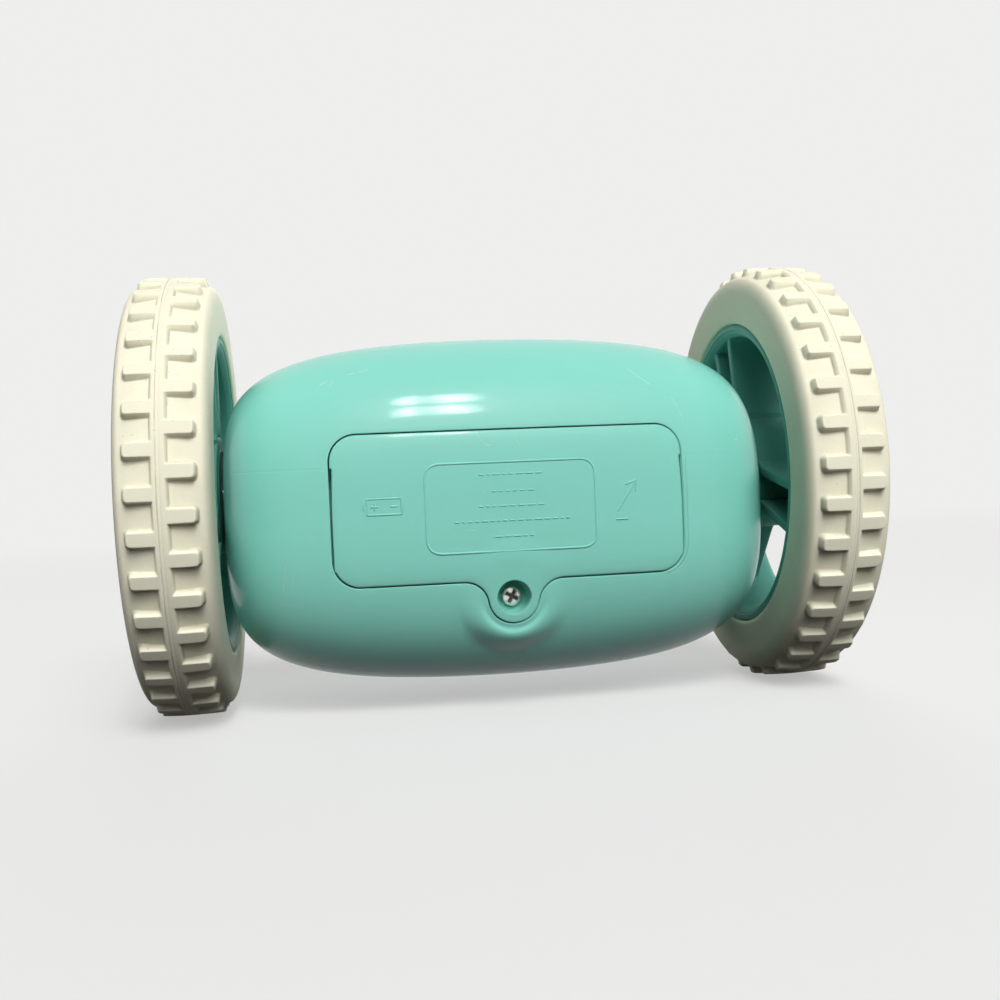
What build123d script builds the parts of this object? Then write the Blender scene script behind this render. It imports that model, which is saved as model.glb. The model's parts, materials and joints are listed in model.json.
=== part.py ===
from build123d import *
import os
from math import acos, atan2, copysign, cos, pi, radians, sin, tan

# Two-wheeled runaway alarm clock. Millimetres, +Z up, origin on the floor midway between the
# wheels, X along the axles, display towards -Y, battery door towards +Y.
# "right" is the +X side, as seen by someone who reads the display.

# ---- Driving dimensions ----------------------------------------------------------------------
# Wheels
WHEEL_RADIUS = 44.5          # over the tread's middle rib
TRACK = 125.2                # between the middle planes of the two tyres
TYRE_WIDTH = 16.8
TYRE_BORE = 32.6             # radius on which the tyre grips the rim
TREAD_DEPTH = 1.4            # height of the rib and lugs above the tread's ground
SHOULDER_DROP = 1.6          # how much lower the tread's edge is than its middle
SHOULDER_ROUND = 3.0
RIB_WIDTH = 2.6
LUG_COUNT = 36               # on each side of the rib
LUG_REACH = 6.1              # from the middle plane to the outer end of a lug
LUG_THICKNESS = 2.7
LUG_ROUND = 0.9
LUG_SET_DOWN = 0.08          # lug tops below the rib's top
LUG_STAGGER = 0.5            # inner row against the outer row, in lugs
RIM_WIDTH = 16.2
RIM_WALL = 2.7
RIM_EDGE_ROUND = 0.8
SPOKE_COUNT = 3
SPOKE_HUB_WIDTH = 8.0
SPOKE_RIM_WIDTH = 11.0
SPOKE_RIB = 1.6
SPOKE_WEB = 2.0
SPOKE_DEPTH = 8.0            # of a spoke's ribs, along the axle
SPOKE_SETBACK = 3.5          # from the rim's inner face to the spokes
SPOKE_ANGLE = {"right": 6.0, "left": -15.0}   # first spoke, from up towards the door
HUB_RADIUS = 12.0
HUB_BOSS_RADIUS = 9.0
HUB_GAP = 0.8                # between the hub boss and the body's end
HUB_PROUD = 1.0              # hub's outer face beyond the spokes' webs
CAP_RADIUS = 8.0
CAP_THICKNESS = 1.6
CAP_DOME = 0.6
WHEEL_SCREW_HEAD = 3.2
WHEEL_SCREW_HEAD_HEIGHT = 2.0
WHEEL_SCREW_SHANK = 1.2
WHEEL_SCREW_LENGTH = 8.0
SCREW_POCKET_ROOM = 0.8      # round and above the wheel screw's head

# Body: every section across X is a superellipse, and so is the outline along X
BODY_LENGTH = 109.6
BODY_HEIGHT = 70.2
BODY_DEPTH = 60.0
BODY_DROP = 4.9              # middle of the body below the axle line
BODY_HEIGHT_CROWN = 4.5      # half height lost towards the ends
BODY_DEPTH_CROWN = 1.5       # half depth lost towards the ends
BODY_END_POWER = 5.0
BODY_SECTION_POWER = 2.7
SECTION_POINTS = 24
STATIONS = (0.3, 0.55, 0.74, 0.86, 0.93, 0.97, 0.99, 0.998)   # shares of the half length
WALL = 2.2
SEAM_WIDTH = 0.4
SEAM_DEPTH = 0.5

# Battery door
DOOR_WIDTH = 67.6
DOOR_HEIGHT = 28.5
DOOR_CORNER = 5.0
DOOR_ABOVE_BODY_MIDDLE = 0.75
DOOR_GAP = 0.3
DOOR_SKIN = 1.8
DOOR_SKIRT = 2.2
DOOR_SIDE_STEP = 0.35        # the lower part of the door is narrower by this on each side
DOOR_SIDE_STEP_DROP = 6.1    # from the door's top edge to that step
TAB_RADIUS = 4.8
TAB_DROP = 3.5               # tab centre below the door's bottom edge
TAB_SPREAD = 9.5             # where the tab's flares meet the bottom edge
CUP_RADIUS = 4.2
CUP_BORE = 2.9               # at the screw's seat
CUP_MOUTH = 3.45             # at the back of the body
CUP_FLOOR = 1.2
DECK_DEPTH = 5.4             # battery deck below the back of the body
DECK_THICKNESS = 1.8
COLLAR = 1.8                 # wall round the door's recess
DOOR_SCREW_HEAD = 1.8
DOOR_SCREW_HEAD_HEIGHT = 1.4
DOOR_SCREW_SHANK = 1.0
DOOR_SCREW_LENGTH = 8.0
DOOR_SCREW_DEPTH = 6.0       # underside of the head below the back of the body
DOOR_SCREW_BOSS = 5.6
PHILLIPS_WIDTH = 0.6
PHILLIPS_DEPTH = 0.8
PHILLIPS_REACH = 1.2         # length of a cross's arms, in radii of the head

# Case screws, hidden under the door
CASE_SCREW_X = 30.0
CASE_SCREW_ABOVE_AXLE = (6.0, -4.0)
CASE_SCREW_HEAD = 2.3
CASE_SCREW_HEAD_HEIGHT = 1.8
CASE_SCREW_SHANK = 1.2
CASE_SCREW_LENGTH = 9.0
CASE_SCREW_SINK = 2.2        # head's seat below the deck
CASE_BOSS_RADIUS = 3.5
CASE_BOSS_FLOOR = 1.4
PILLAR_RADIUS = 2.9

# Battery box: four cells, two by two
CELL_RADIUS = 5.25
CELL_LENGTH = 43.5
CELL_NUB_RADIUS = 1.9
CELL_NUB_LENGTH = 1.0
CELL_PITCH = 11.0
SPRING_LENGTH = 3.6
SPRING_RADIUS = 3.2
SPRING_TIP_RADIUS = 2.0
SPRING_WIRE = 0.5
CONTACT_THICKNESS = 0.4
CONTACT_SIZE = 9.0
BOX_WALL = 1.2
BOX_FLANGE = 1.2

# Front: face plate, display and buttons
FACE_WIDTH = 66.0
FACE_HEIGHT = 38.0
FACE_CORNER = 15.0
FACE_ABOVE_BODY_MIDDLE = 1.0
FACE_SINK = 1.4
FACE_PROUD = 0.6
WINDOW_WIDTH = 36.0
WINDOW_HEIGHT = 15.0
WINDOW_CORNER = 2.0
WINDOW_ABOVE_AXLE = 3.5
LENS_THICKNESS = 1.0
LENS_DEPTH = 0.2             # curved lens behind the form of the body
GLASS_WIDTH = 37.6
GLASS_HEIGHT = 16.6
GLASS_THICKNESS = 2.4
GLASS_DEPTH = 3.6            # flat display glass behind the front of the body
GLASS_ROOM = 0.4             # round the glass, in the case
HOLDER_WALL = 1.0
BUTTON_NAMES = ("time", "alarm", "hour", "minute")
BUTTON_PITCH = 11.5
BUTTON_BELOW_AXLE = 12.2
BUTTON_RADIUS = 2.6
BUTTON_PROUD = 1.3           # beyond the front of the body
BUTTON_TRAVEL = 0.8
BUTTON_GAP = 0.3
BUTTON_ROUND = 0.4
BUTTON_SETBACK = 1.1         # flange behind the back of the face plate
BUTTON_FLANGE = 1.0
BUTTON_FLANGE_THICKNESS = 0.8
BUTTON_STEM_RADIUS = 1.2

# Boards and what sits on them
BOARD_WIDTH = 52.4
BOARD_TOP_ABOVE_AXLE = 17.0
BOARD_BOTTOM_BELOW_AXLE = 16.0
BOARD_THICKNESS = 1.6
BOARD_DEPTH = 9.0            # front face of the main board behind the front of the body
BOARD_POST_X = 24.2
BOARD_POST_ABOVE_AXLE = (13.5, -3.5)
POST_RADIUS = 2.1
BOARD_SCREW_HEAD = 1.7
BOARD_SCREW_HEAD_HEIGHT = 1.2
BOARD_SCREW_SHANK = 0.8
BOARD_SCREW_LENGTH = 4.2
SWITCH_SIZE = 6.0
SWITCH_HEIGHT = 2.6
PLUNGER_RADIUS = 1.7
PLUNGER_HEIGHT = 0.9
BUZZER_RADIUS = 7.0
BUZZER_HEIGHT = 7.0
BUZZER_BELOW_AXLE = 5.0
BUZZER_HOLE = 1.0

# Ballast bar low in the front, which keeps the display upright between the wheels
BALLAST_WIDTH = 40.0
BALLAST_THICKNESS = 4.0
BALLAST_HEIGHT = 10.0
BALLAST_BELOW_AXLE = 24.0
BALLAST_DEPTH = 9.4          # bar's front face behind the front of the body
BALLAST_POST_X = 5.0
BALLAST_SCREW_GRIP = 3.2     # of the screws in their posts

# Snooze pad
SNOOZE_WIDTH = 30.0
SNOOZE_DEPTH = 12.0
SNOOZE_CORNER = 5.0
SNOOZE_FORWARD = 12.0        # middle of the pad in front of the axle line
SNOOZE_PROUD = 0.8
SNOOZE_GAP = 0.35
SNOOZE_TRAVEL = 1.5
SNOOZE_FLANGE = 1.5
SNOOZE_FLANGE_THICKNESS = 1.2
SNOOZE_STEM_RADIUS = 2.0
SNOOZE_BOARD_WIDTH = 44.0
SNOOZE_BOARD_DEPTH = 12.0
SNOOZE_BOARD_ABOVE_AXLE = 17.0
SNOOZE_POST_X = 19.6

# Drive trains
AXLE_RADIUS = 2.0
AXLE_INNER_X = 33.4
BUSH_RADIUS = 3.6
BUSH_FLANGE_RADIUS = 5.2
BUSH_FLANGE_THICKNESS = 1.2
RUNNING_CLEARANCE = 0.05
BULKHEAD_X = 34.2
BULKHEAD_THICKNESS = 1.2
BULKHEAD_DECK_GAP = 0.4
GEAR_MODULE = 0.6
GEAR_TEETH = 30
PINION_TEETH = 10
PRESSURE_ANGLE = 20.0
ADDENDUM = 0.85              # in modules
DEDENDUM = 1.25
BACKLASH = 0.22
GEAR_WIDTH = 2.2
GEAR_END_GAP = 0.7           # first gear to the bulkhead
STAGE_PITCH = 3.0            # from one stage's gear to the next along X
PINION_OVERHANG = 0.2
PIN_RADIUS = 0.9
SECOND_GEAR_ANGLE = -37.0    # axle to second gear, from +Y towards +Z
FIRST_GEAR_ANGLE = -123.0    # second gear to first gear
MOTOR_ANGLE = -163.0         # first gear to motor
COVER_ROOM = 0.6             # round the gear tips
COVER_WALL = 1.0
COVER_SCREW_PLACES = ((-4.5, 12.3), (14.1, -24.4))    # y and z from the axle line
COVER_TAB_RADIUS = 2.6
COVER_TAB_THICKNESS = 2.0
COVER_BOSS_LENGTH = 4.0
COVER_SCREW_HEAD = 1.8
COVER_SCREW_HEAD_HEIGHT = 1.2
COVER_SCREW_SHANK = 0.9
CAVITY_CLEARANCE = 0.3
MOTOR_RADIUS = 10.05
MOTOR_FLATS = 15.1
MOTOR_LENGTH = 25.1
MOTOR_BOSS_RADIUS = 3.05
MOTOR_SHAFT_RADIUS = 1.0
MOTOR_SHAFT_INSIDE = 12.0

# Sound slots under the front
SLOT_COUNT = 5
SLOT_LENGTH = 9.0
SLOT_WIDTH = 1.4
SLOT_PITCH = 3.2
SLOT_FORWARD = 15.0

# ---- Worked-out places -----------------------------------------------------------------------
AXLE_Z = WHEEL_RADIUS
BODY_Z = AXLE_Z - BODY_DROP
BACK_Y = BODY_DEPTH / 2
FRONT_Y = -BODY_DEPTH / 2
DECK_Y = BACK_Y - DECK_DEPTH
DECK_UNDER_Y = DECK_Y - DECK_THICKNESS
DOOR_Z = BODY_Z + DOOR_ABOVE_BODY_MIDDLE
DOOR_TOP_Z = DOOR_Z + DOOR_HEIGHT / 2
DOOR_BOTTOM_Z = DOOR_Z - DOOR_HEIGHT / 2
TAB_Z = DOOR_BOTTOM_Z - TAB_DROP
FACE_Z = BODY_Z + FACE_ABOVE_BODY_MIDDLE
WINDOW_Z = AXLE_Z + WINDOW_ABOVE_AXLE
BUTTON_Z = AXLE_Z - BUTTON_BELOW_AXLE
BOARD_Y = FRONT_Y + BOARD_DEPTH
BOARD_BACK_Y = BOARD_Y + BOARD_THICKNESS
BALLAST_Y = FRONT_Y + BALLAST_DEPTH
BALLAST_Z = AXLE_Z - BALLAST_BELOW_AXLE
SNOOZE_Y = -SNOOZE_FORWARD
SNOOZE_BOARD_Z = AXLE_Z + SNOOZE_BOARD_ABOVE_AXLE
SWITCH_TOP = SWITCH_HEIGHT + PLUNGER_HEIGHT
TYRE_X = TRACK / 2
RIM_BORE = TYRE_BORE - RIM_WALL
SHAFT_HOLE = AXLE_RADIUS + RUNNING_CLEARANCE
GEAR_CENTRES = GEAR_MODULE * (GEAR_TEETH + PINION_TEETH) / 2
STAGE_X = tuple(BULKHEAD_X + BULKHEAD_THICKNESS + GEAR_END_GAP + STAGE_PITCH * n for n in range(3))
COVER_X = STAGE_X[2] + GEAR_WIDTH + GEAR_END_GAP
FAR = 4 * (BODY_LENGTH + TRACK)        # longer than anything here
SIDES = {"right": 1, "left": -1}


def from_place(place, angle, distance):
    """A place in (y, z), a distance away from another at an angle in degrees."""
    return (place[0] + distance * cos(radians(angle)), place[1] + distance * sin(radians(angle)))


AXLE_PLACE = (0.0, AXLE_Z)
SECOND_PLACE = from_place(AXLE_PLACE, SECOND_GEAR_ANGLE, GEAR_CENTRES)
FIRST_PLACE = from_place(SECOND_PLACE, FIRST_GEAR_ANGLE, GEAR_CENTRES)
MOTOR_PLACE = from_place(FIRST_PLACE, MOTOR_ANGLE, GEAR_CENTRES)


# ---- Helpers ---------------------------------------------------------------------------------
def rod(plane, radius, length):
    """A cylinder that stands on a plane."""
    return plane * Cylinder(radius, length, align=(Align.CENTER, Align.CENTER, Align.MIN))


def across(x, y, z):
    """A plane at a point that faces +X, with its own x along Y and its own y along Z."""
    return Plane(origin=(x, y, z), x_dir=(0, 1, 0), z_dir=(1, 0, 0))


def backward(x, y, z):
    """A plane at a point that faces +Y, with its own x along -X and its own y along Z."""
    return Plane(origin=(x, y, z), x_dir=(-1, 0, 0), z_dir=(0, 1, 0))


def forward(x, y, z):
    """A plane at a point that faces -Y, with its own x along X and its own y along Z."""
    return Plane(origin=(x, y, z), x_dir=(1, 0, 0), z_dir=(0, -1, 0))


def upward(x, y, z):
    """A plane at a point that faces +Z."""
    return Plane(origin=(x, y, z), x_dir=(1, 0, 0), z_dir=(0, 0, 1))


def block(low, high):
    """A box between two corners."""
    sizes = [b - a for a, b in zip(low, high)]
    return Pos(*low) * Box(*sizes, align=(Align.MIN, Align.MIN, Align.MIN))


def rounded_plate(plane, width, height, corner, length):
    """A slab with rounded corners that stands on a plane."""
    return extrude(plane * RectangleRounded(width, height, corner), length)


def screw(plane, head, head_height, shank, length):
    """A cross-head screw: its head stands on the plane and its shank runs down from it."""
    body = rod(plane, head, head_height) + rod(plane.offset(-length), shank, length)
    reach = PHILLIPS_REACH * head
    cross = Rectangle(reach, PHILLIPS_WIDTH) + Rectangle(PHILLIPS_WIDTH, reach)
    return body - extrude(plane.offset(head_height - PHILLIPS_DEPTH) * cross, head_height)


def on_side(side, shape):
    """A piece drawn for the right side, as it is on the side asked for."""
    return shape if side == "right" else mirror(shape, Plane.YZ)


# ---- Body form -------------------------------------------------------------------------------
def end_rounding(share):
    """Share of the full section that is left at a share of the half length."""
    return (1 - abs(share) ** BODY_END_POWER) ** (1 / BODY_END_POWER)


def section_half_sizes(share, inset):
    """Half depth and half height of the body's section, with the form drawn in by inset."""
    left = end_rounding(share)
    half_depth = (BODY_DEPTH / 2 - inset - BODY_DEPTH_CROWN * share ** 2) * left
    half_height = (BODY_HEIGHT / 2 - inset - BODY_HEIGHT_CROWN * share ** 2) * left
    return half_depth, half_height


def section(share, inset):
    """One superellipse across X."""
    half_depth, half_height = section_half_sizes(share, inset)
    x = share * (BODY_LENGTH / 2 - inset)
    power = 2 / BODY_SECTION_POWER
    points = []
    for step in range(SECTION_POINTS):
        turn = 2 * pi * step / SECTION_POINTS
        y = half_depth * copysign(abs(cos(turn)) ** power, cos(turn))
        z = half_height * copysign(abs(sin(turn)) ** power, sin(turn))
        points.append((x, y, BODY_Z + z))
    return make_face(Spline(*points, periodic=True))


def body_form(inset):
    """The pillow-shaped form of the clock's body, drawn in by inset all round."""
    shares = [-share for share in reversed(STATIONS)] + [0.0] + list(STATIONS)
    return loft([section(share, inset) for share in shares])


OUTER_FORM = body_form(0.0)
CAVITY_FORM = body_form(WALL)


# ---- Battery door ----------------------------------------------------------------------------
def door_outline(grow):
    """The door's outline with its screw tab, grown by an amount, drawn as X and Z."""
    half_width = DOOR_WIDTH / 2 + grow
    top = DOOR_TOP_Z + grow
    bottom = DOOR_BOTTOM_Z - grow
    corner = DOOR_CORNER + grow
    tab = TAB_RADIUS + grow
    drop = bottom - TAB_Z
    flare = (TAB_SPREAD ** 2 + drop ** 2 - tab ** 2) / (2 * (tab + drop))
    lean = atan2(bottom - flare - TAB_Z, TAB_SPREAD)
    meet = (tab * cos(lean), TAB_Z + tab * sin(lean))
    flare_middle_angle = (pi / 2 + pi + lean) / 2
    flare_middle = (TAB_SPREAD + flare * cos(flare_middle_angle),
                    bottom - flare + flare * sin(flare_middle_angle))
    diagonal = corner * (1 - cos(pi / 4))
    edges = [
        Line((-half_width + corner, top), (half_width - corner, top)),
        ThreePointArc((half_width - corner, top), (half_width - diagonal, top - diagonal),
                      (half_width, top - corner)),
        Line((half_width, top - corner), (half_width, bottom + corner)),
        ThreePointArc((half_width, bottom + corner), (half_width - diagonal, bottom + diagonal),
                      (half_width - corner, bottom)),
        Line((half_width - corner, bottom), (TAB_SPREAD, bottom)),
        ThreePointArc((TAB_SPREAD, bottom), flare_middle, meet),
        ThreePointArc(meet, (0, TAB_Z - tab), (-meet[0], meet[1])),
        ThreePointArc((-meet[0], meet[1]), (-flare_middle[0], flare_middle[1]), (-TAB_SPREAD, bottom)),
        Line((-TAB_SPREAD, bottom), (-half_width + corner, bottom)),
        ThreePointArc((-half_width + corner, bottom), (-half_width + diagonal, bottom + diagonal),
                      (-half_width, bottom + corner)),
        Line((-half_width, bottom + corner), (-half_width, top - corner)),
        ThreePointArc((-half_width, top - corner), (-half_width + diagonal, top - diagonal),
                      (-half_width + corner, top)),
    ]
    return make_face(edges)


def door_prism(grow, low_y):
    """The door's outline, grown, from a depth out past the back of the body."""
    return extrude(backward(0, low_y, 0) * door_outline(grow), BODY_DEPTH)


def tab_rod(radius, low_y, high_y):
    """A cylinder on the door screw's axis between two depths."""
    return rod(backward(0, low_y, TAB_Z), radius, high_y - low_y)


DOOR_SEAT_Y = BACK_Y - DOOR_SCREW_DEPTH
DOOR_CUP_Y = DOOR_SEAT_Y - CUP_FLOOR


def cup_bore():
    """The screw cup's bore, which widens from the screw's seat to its mouth."""
    cone = Cone(CUP_BORE, CUP_MOUTH, DOOR_SCREW_DEPTH, align=(Align.CENTER, Align.CENTER, Align.MIN))
    return backward(0, DOOR_SEAT_Y, TAB_Z) * cone


def battery_door():
    """Curved door with a hollow back, a screw cup and slightly drawn-in lower sides."""
    plate = door_prism(0.0, DECK_Y + DOOR_GAP) & OUTER_FORM
    hollow = door_prism(-DOOR_SKIRT, DECK_Y) & body_form(DOOR_SKIN)
    cup = tab_rod(CUP_RADIUS, DOOR_CUP_Y, BACK_Y) & OUTER_FORM
    bore = cup_bore()
    shank_hole = tab_rod(DOOR_SCREW_SHANK, DOOR_CUP_Y - CUP_FLOOR, DOOR_SEAT_Y)
    door = plate - hollow + cup - bore - shank_hole
    step_z = DOOR_TOP_Z - DOOR_SIDE_STEP_DROP
    for sign in (1, -1):
        inner = sign * (DOOR_WIDTH / 2 - DOOR_SIDE_STEP)
        outer = sign * DOOR_WIDTH
        door -= block((min(inner, outer), 0, 0), (max(inner, outer), BODY_DEPTH, step_z))
    return door


def door_screw():
    """The one screw that holds the door, deep in its cup."""
    return screw(backward(0, DOOR_SEAT_Y, TAB_Z), DOOR_SCREW_HEAD, DOOR_SCREW_HEAD_HEIGHT,
                 DOOR_SCREW_SHANK, DOOR_SCREW_LENGTH)


# ---- Case screws and pillars -----------------------------------------------------------------
CASE_SEAT_Y = DECK_Y - CASE_SCREW_SINK
CASE_BOSS_Y = CASE_SEAT_Y - CASE_BOSS_FLOOR


def case_screw_places():
    """X and Z of the four screws that join the two shells."""
    return [(sign * CASE_SCREW_X, AXLE_Z + up) for sign in (1, -1) for up in CASE_SCREW_ABOVE_AXLE]


def case_screws():
    """Four screws under the door that draw the rear shell to the front shell's pillars."""
    return [screw(backward(x, CASE_SEAT_Y, z), CASE_SCREW_HEAD, CASE_SCREW_HEAD_HEIGHT,
                  CASE_SCREW_SHANK, CASE_SCREW_LENGTH) for x, z in case_screw_places()]


# ---- Shells ----------------------------------------------------------------------------------
def seam_groove():
    """The narrow groove that shows where the two shells meet."""
    slab = block((-FAR, -SEAM_WIDTH / 2, -FAR), (FAR, SEAM_WIDTH / 2, FAR))
    return slab - body_form(SEAM_DEPTH)


def bush_holes(radius):
    """Both axles' openings through the ends of the body."""
    return rod(across(-BODY_LENGTH, *AXLE_PLACE), radius, 2 * BODY_LENGTH)


def box_outline():
    """Width and height of the battery box."""
    inner_width = CELL_LENGTH + CELL_NUB_LENGTH + SPRING_LENGTH + 2 * CONTACT_THICKNESS
    inner_height = CELL_PITCH + 2 * CELL_RADIUS
    return inner_width + 2 * BOX_WALL, inner_height + 2 * BOX_WALL


def rear_shell():
    """Rear half of the case, with the door's recess, the battery deck and the screw bosses."""
    half = block((-FAR, 0, -FAR), (FAR, FAR, FAR))
    shell = (OUTER_FORM - CAVITY_FORM) & half
    shell += door_prism(DOOR_GAP + COLLAR, DECK_UNDER_Y) & OUTER_FORM
    boss = tab_rod(DOOR_SCREW_BOSS, DOOR_SEAT_Y - DOOR_SCREW_LENGTH, DECK_UNDER_Y)
    shell += boss & body_form(WALL / 2)
    for x, z in case_screw_places():
        shell += rod(backward(x, CASE_BOSS_Y, z), CASE_BOSS_RADIUS, DECK_UNDER_Y - CASE_BOSS_Y)
    shell -= door_prism(DOOR_GAP, DECK_Y)
    shell -= tab_rod(CUP_RADIUS + DOOR_GAP, DOOR_CUP_Y - DOOR_GAP, BODY_DEPTH)
    shell -= tab_rod(DOOR_SCREW_SHANK + DOOR_GAP, 0, BODY_DEPTH)
    for x, z in case_screw_places():
        shell -= rod(backward(x, CASE_SEAT_Y, z), CASE_SCREW_HEAD + DOOR_GAP, BODY_DEPTH)
        shell -= rod(backward(x, CASE_BOSS_Y - WALL, z), CASE_SCREW_SHANK, BODY_DEPTH)
    width, height = box_outline()
    shell -= block((-width / 2, 0, DOOR_Z - height / 2), (width / 2, FAR, DOOR_Z + height / 2))
    return shell - bush_holes(BUSH_RADIUS) - seam_groove()


def front_posts():
    """Pillars for the case screws and posts for both boards, up to the middle of the wall."""
    posts = []
    for x, z in case_screw_places():
        posts.append(rod(forward(x, CASE_BOSS_Y, z), PILLAR_RADIUS, FAR)
                     - rod(forward(x, CASE_BOSS_Y, z), CASE_SCREW_SHANK, CASE_SCREW_LENGTH))
    for x, z in board_post_places():
        posts.append(rod(forward(x, BOARD_Y, z), POST_RADIUS, FAR)
                     - rod(forward(x, BOARD_Y, z), BOARD_SCREW_SHANK, BOARD_SCREW_LENGTH))
    for x, y in snooze_post_places():
        base = upward(x, y, SNOOZE_BOARD_Z + BOARD_THICKNESS)
        posts.append(rod(base, POST_RADIUS, FAR) - rod(base, BOARD_SCREW_SHANK, BOARD_SCREW_LENGTH))
    for x, z in ballast_post_places():
        posts.append(rod(forward(x, BALLAST_Y, z), POST_RADIUS, FAR)
                     - rod(forward(x, BALLAST_Y, z), BOARD_SCREW_SHANK, BALLAST_SCREW_GRIP))
    trim = body_form(WALL / 2)
    return [post & trim for post in posts]


def sound_slots():
    """Slots in the underside of the front shell that let the buzzer out."""
    slots = []
    for n in range(SLOT_COUNT):
        y = -SLOT_FORWARD + (n - (SLOT_COUNT - 1) / 2) * SLOT_PITCH
        slots.append(extrude(upward(0, y, 0) * SlotOverall(SLOT_LENGTH, SLOT_WIDTH), BODY_Z))
    return slots


def face_prism():
    """The face plate's outline, from inside the body out past its front."""
    return rounded_plate(forward(0, BOARD_Y, FACE_Z), FACE_WIDTH, FACE_HEIGHT, FACE_CORNER, BODY_DEPTH)


def front_shell():
    """Front half of the case, with the face plate's recess, pillars, posts and sound slots."""
    half = block((-FAR, -FAR, -FAR), (FAR, 0, FAR))
    shell = (OUTER_FORM - CAVITY_FORM) & half
    for post in front_posts():
        shell += post
    shell -= face_prism() - body_form(FACE_SINK)
    shell -= extrude(forward(0, BOARD_Y, WINDOW_Z) * Rectangle(GLASS_WIDTH + 2 * GLASS_ROOM,
                                                               GLASS_HEIGHT + 2 * GLASS_ROOM), BODY_DEPTH)
    for x, z in button_places():
        shell -= rod(forward(x, BOARD_Y, z), BUTTON_RADIUS + BUTTON_FLANGE + BUTTON_GAP, BODY_DEPTH)
    shell -= snooze_prism(SNOOZE_GAP, AXLE_Z)
    for slot in sound_slots():
        shell -= slot
    return shell - bush_holes(BUSH_RADIUS) - seam_groove()


# ---- Face plate, display and buttons ---------------------------------------------------------
def window_prism():
    """The display window, from the main board out past the front."""
    return rounded_plate(forward(0, BOARD_Y, WINDOW_Z), WINDOW_WIDTH, WINDOW_HEIGHT, WINDOW_CORNER,
                         BODY_DEPTH)


def button_places():
    """X and Z of the four small buttons under the window."""
    middle = (len(BUTTON_NAMES) - 1) / 2
    return [((n - middle) * BUTTON_PITCH, BUTTON_Z) for n in range(len(BUTTON_NAMES))]


def face_plate():
    """Curved plate set into the front, with the window and the button holes."""
    skin = body_form(-FACE_PROUD) - body_form(FACE_SINK)
    plate = (face_prism() & skin) - window_prism()
    for x, z in button_places():
        plate -= rod(forward(x, BOARD_Y, z), BUTTON_RADIUS + BUTTON_GAP, BODY_DEPTH)
    return plate


def lcd_lens():
    """Curved clear lens that fills the window of the face plate."""
    return window_prism() & (body_form(LENS_DEPTH) - body_form(LENS_DEPTH + LENS_THICKNESS))


def lcd_glass():
    """The display's glass sandwich."""
    back = FRONT_Y + GLASS_DEPTH + GLASS_THICKNESS
    return extrude(forward(0, back, WINDOW_Z) * Rectangle(GLASS_WIDTH, GLASS_HEIGHT), GLASS_THICKNESS)


def lcd_holder():
    """Frame that stands the glass off the main board."""
    depth = BOARD_Y - (FRONT_Y + GLASS_DEPTH + GLASS_THICKNESS)
    ring = Rectangle(GLASS_WIDTH, GLASS_HEIGHT)
    ring -= Rectangle(GLASS_WIDTH - 2 * HOLDER_WALL, GLASS_HEIGHT - 2 * HOLDER_WALL)
    return extrude(forward(0, BOARD_Y, WINDOW_Z) * ring, depth)


def small_button(x, z):
    """A button cap with a retaining flange and a stem that reaches for its switch."""
    tip = BOARD_Y - SWITCH_TOP - BUTTON_TRAVEL - BUTTON_GAP
    flange_front = FRONT_Y + FACE_SINK + BUTTON_SETBACK
    flange_back = flange_front + BUTTON_FLANGE_THICKNESS
    button = rod(forward(x, flange_back, z), BUTTON_RADIUS, flange_back - FRONT_Y + BUTTON_PROUD)
    button = fillet(button.faces().sort_by(Axis.Y)[0].edges(), BUTTON_ROUND)
    button += rod(forward(x, flange_back, z), BUTTON_RADIUS + BUTTON_FLANGE, BUTTON_FLANGE_THICKNESS)
    return button + rod(forward(x, tip, z), BUTTON_STEM_RADIUS, tip - flange_back)


# ---- Snooze pad ------------------------------------------------------------------------------
def snooze_prism(grow, low_z):
    """The snooze pad's outline, grown, from a height up past the top of the body."""
    return rounded_plate(upward(0, SNOOZE_Y, low_z), SNOOZE_WIDTH + 2 * grow,
                         SNOOZE_DEPTH + 2 * grow, SNOOZE_CORNER + grow, BODY_HEIGHT)


def snooze_button():
    """Curved pad in the top, its flange under the shell and a stem over the snooze switch."""
    pad = snooze_prism(0.0, AXLE_Z) & (body_form(-SNOOZE_PROUD) - body_form(WALL + SNOOZE_GAP))
    flange_form = body_form(WALL + SNOOZE_GAP) - body_form(WALL + SNOOZE_GAP + SNOOZE_FLANGE_THICKNESS)
    flange = snooze_prism(SNOOZE_FLANGE, AXLE_Z) & flange_form
    tip = SNOOZE_BOARD_Z + BOARD_THICKNESS + SWITCH_TOP + SNOOZE_TRAVEL + SNOOZE_GAP
    stem = rod(upward(0, SNOOZE_Y, tip), SNOOZE_STEM_RADIUS, BODY_HEIGHT) & body_form(WALL)
    return pad + flange + stem


def snooze_post_places():
    """X and Y of the two posts that carry the snooze board."""
    return [(sign * SNOOZE_POST_X, SNOOZE_Y) for sign in (1, -1)]


def snooze_board():
    """Small board under the snooze pad."""
    plane = upward(0, SNOOZE_Y, SNOOZE_BOARD_Z)
    board = extrude(plane * Rectangle(SNOOZE_BOARD_WIDTH, SNOOZE_BOARD_DEPTH), BOARD_THICKNESS)
    for x, y in snooze_post_places():
        board -= rod(upward(x, y, SNOOZE_BOARD_Z), BOARD_SCREW_SHANK, BOARD_THICKNESS)
    return board


# ---- Main board ------------------------------------------------------------------------------
def board_post_places():
    """X and Z of the posts that carry the main board."""
    return [(sign * BOARD_POST_X, AXLE_Z + up) for sign in (1, -1) for up in BOARD_POST_ABOVE_AXLE]


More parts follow.
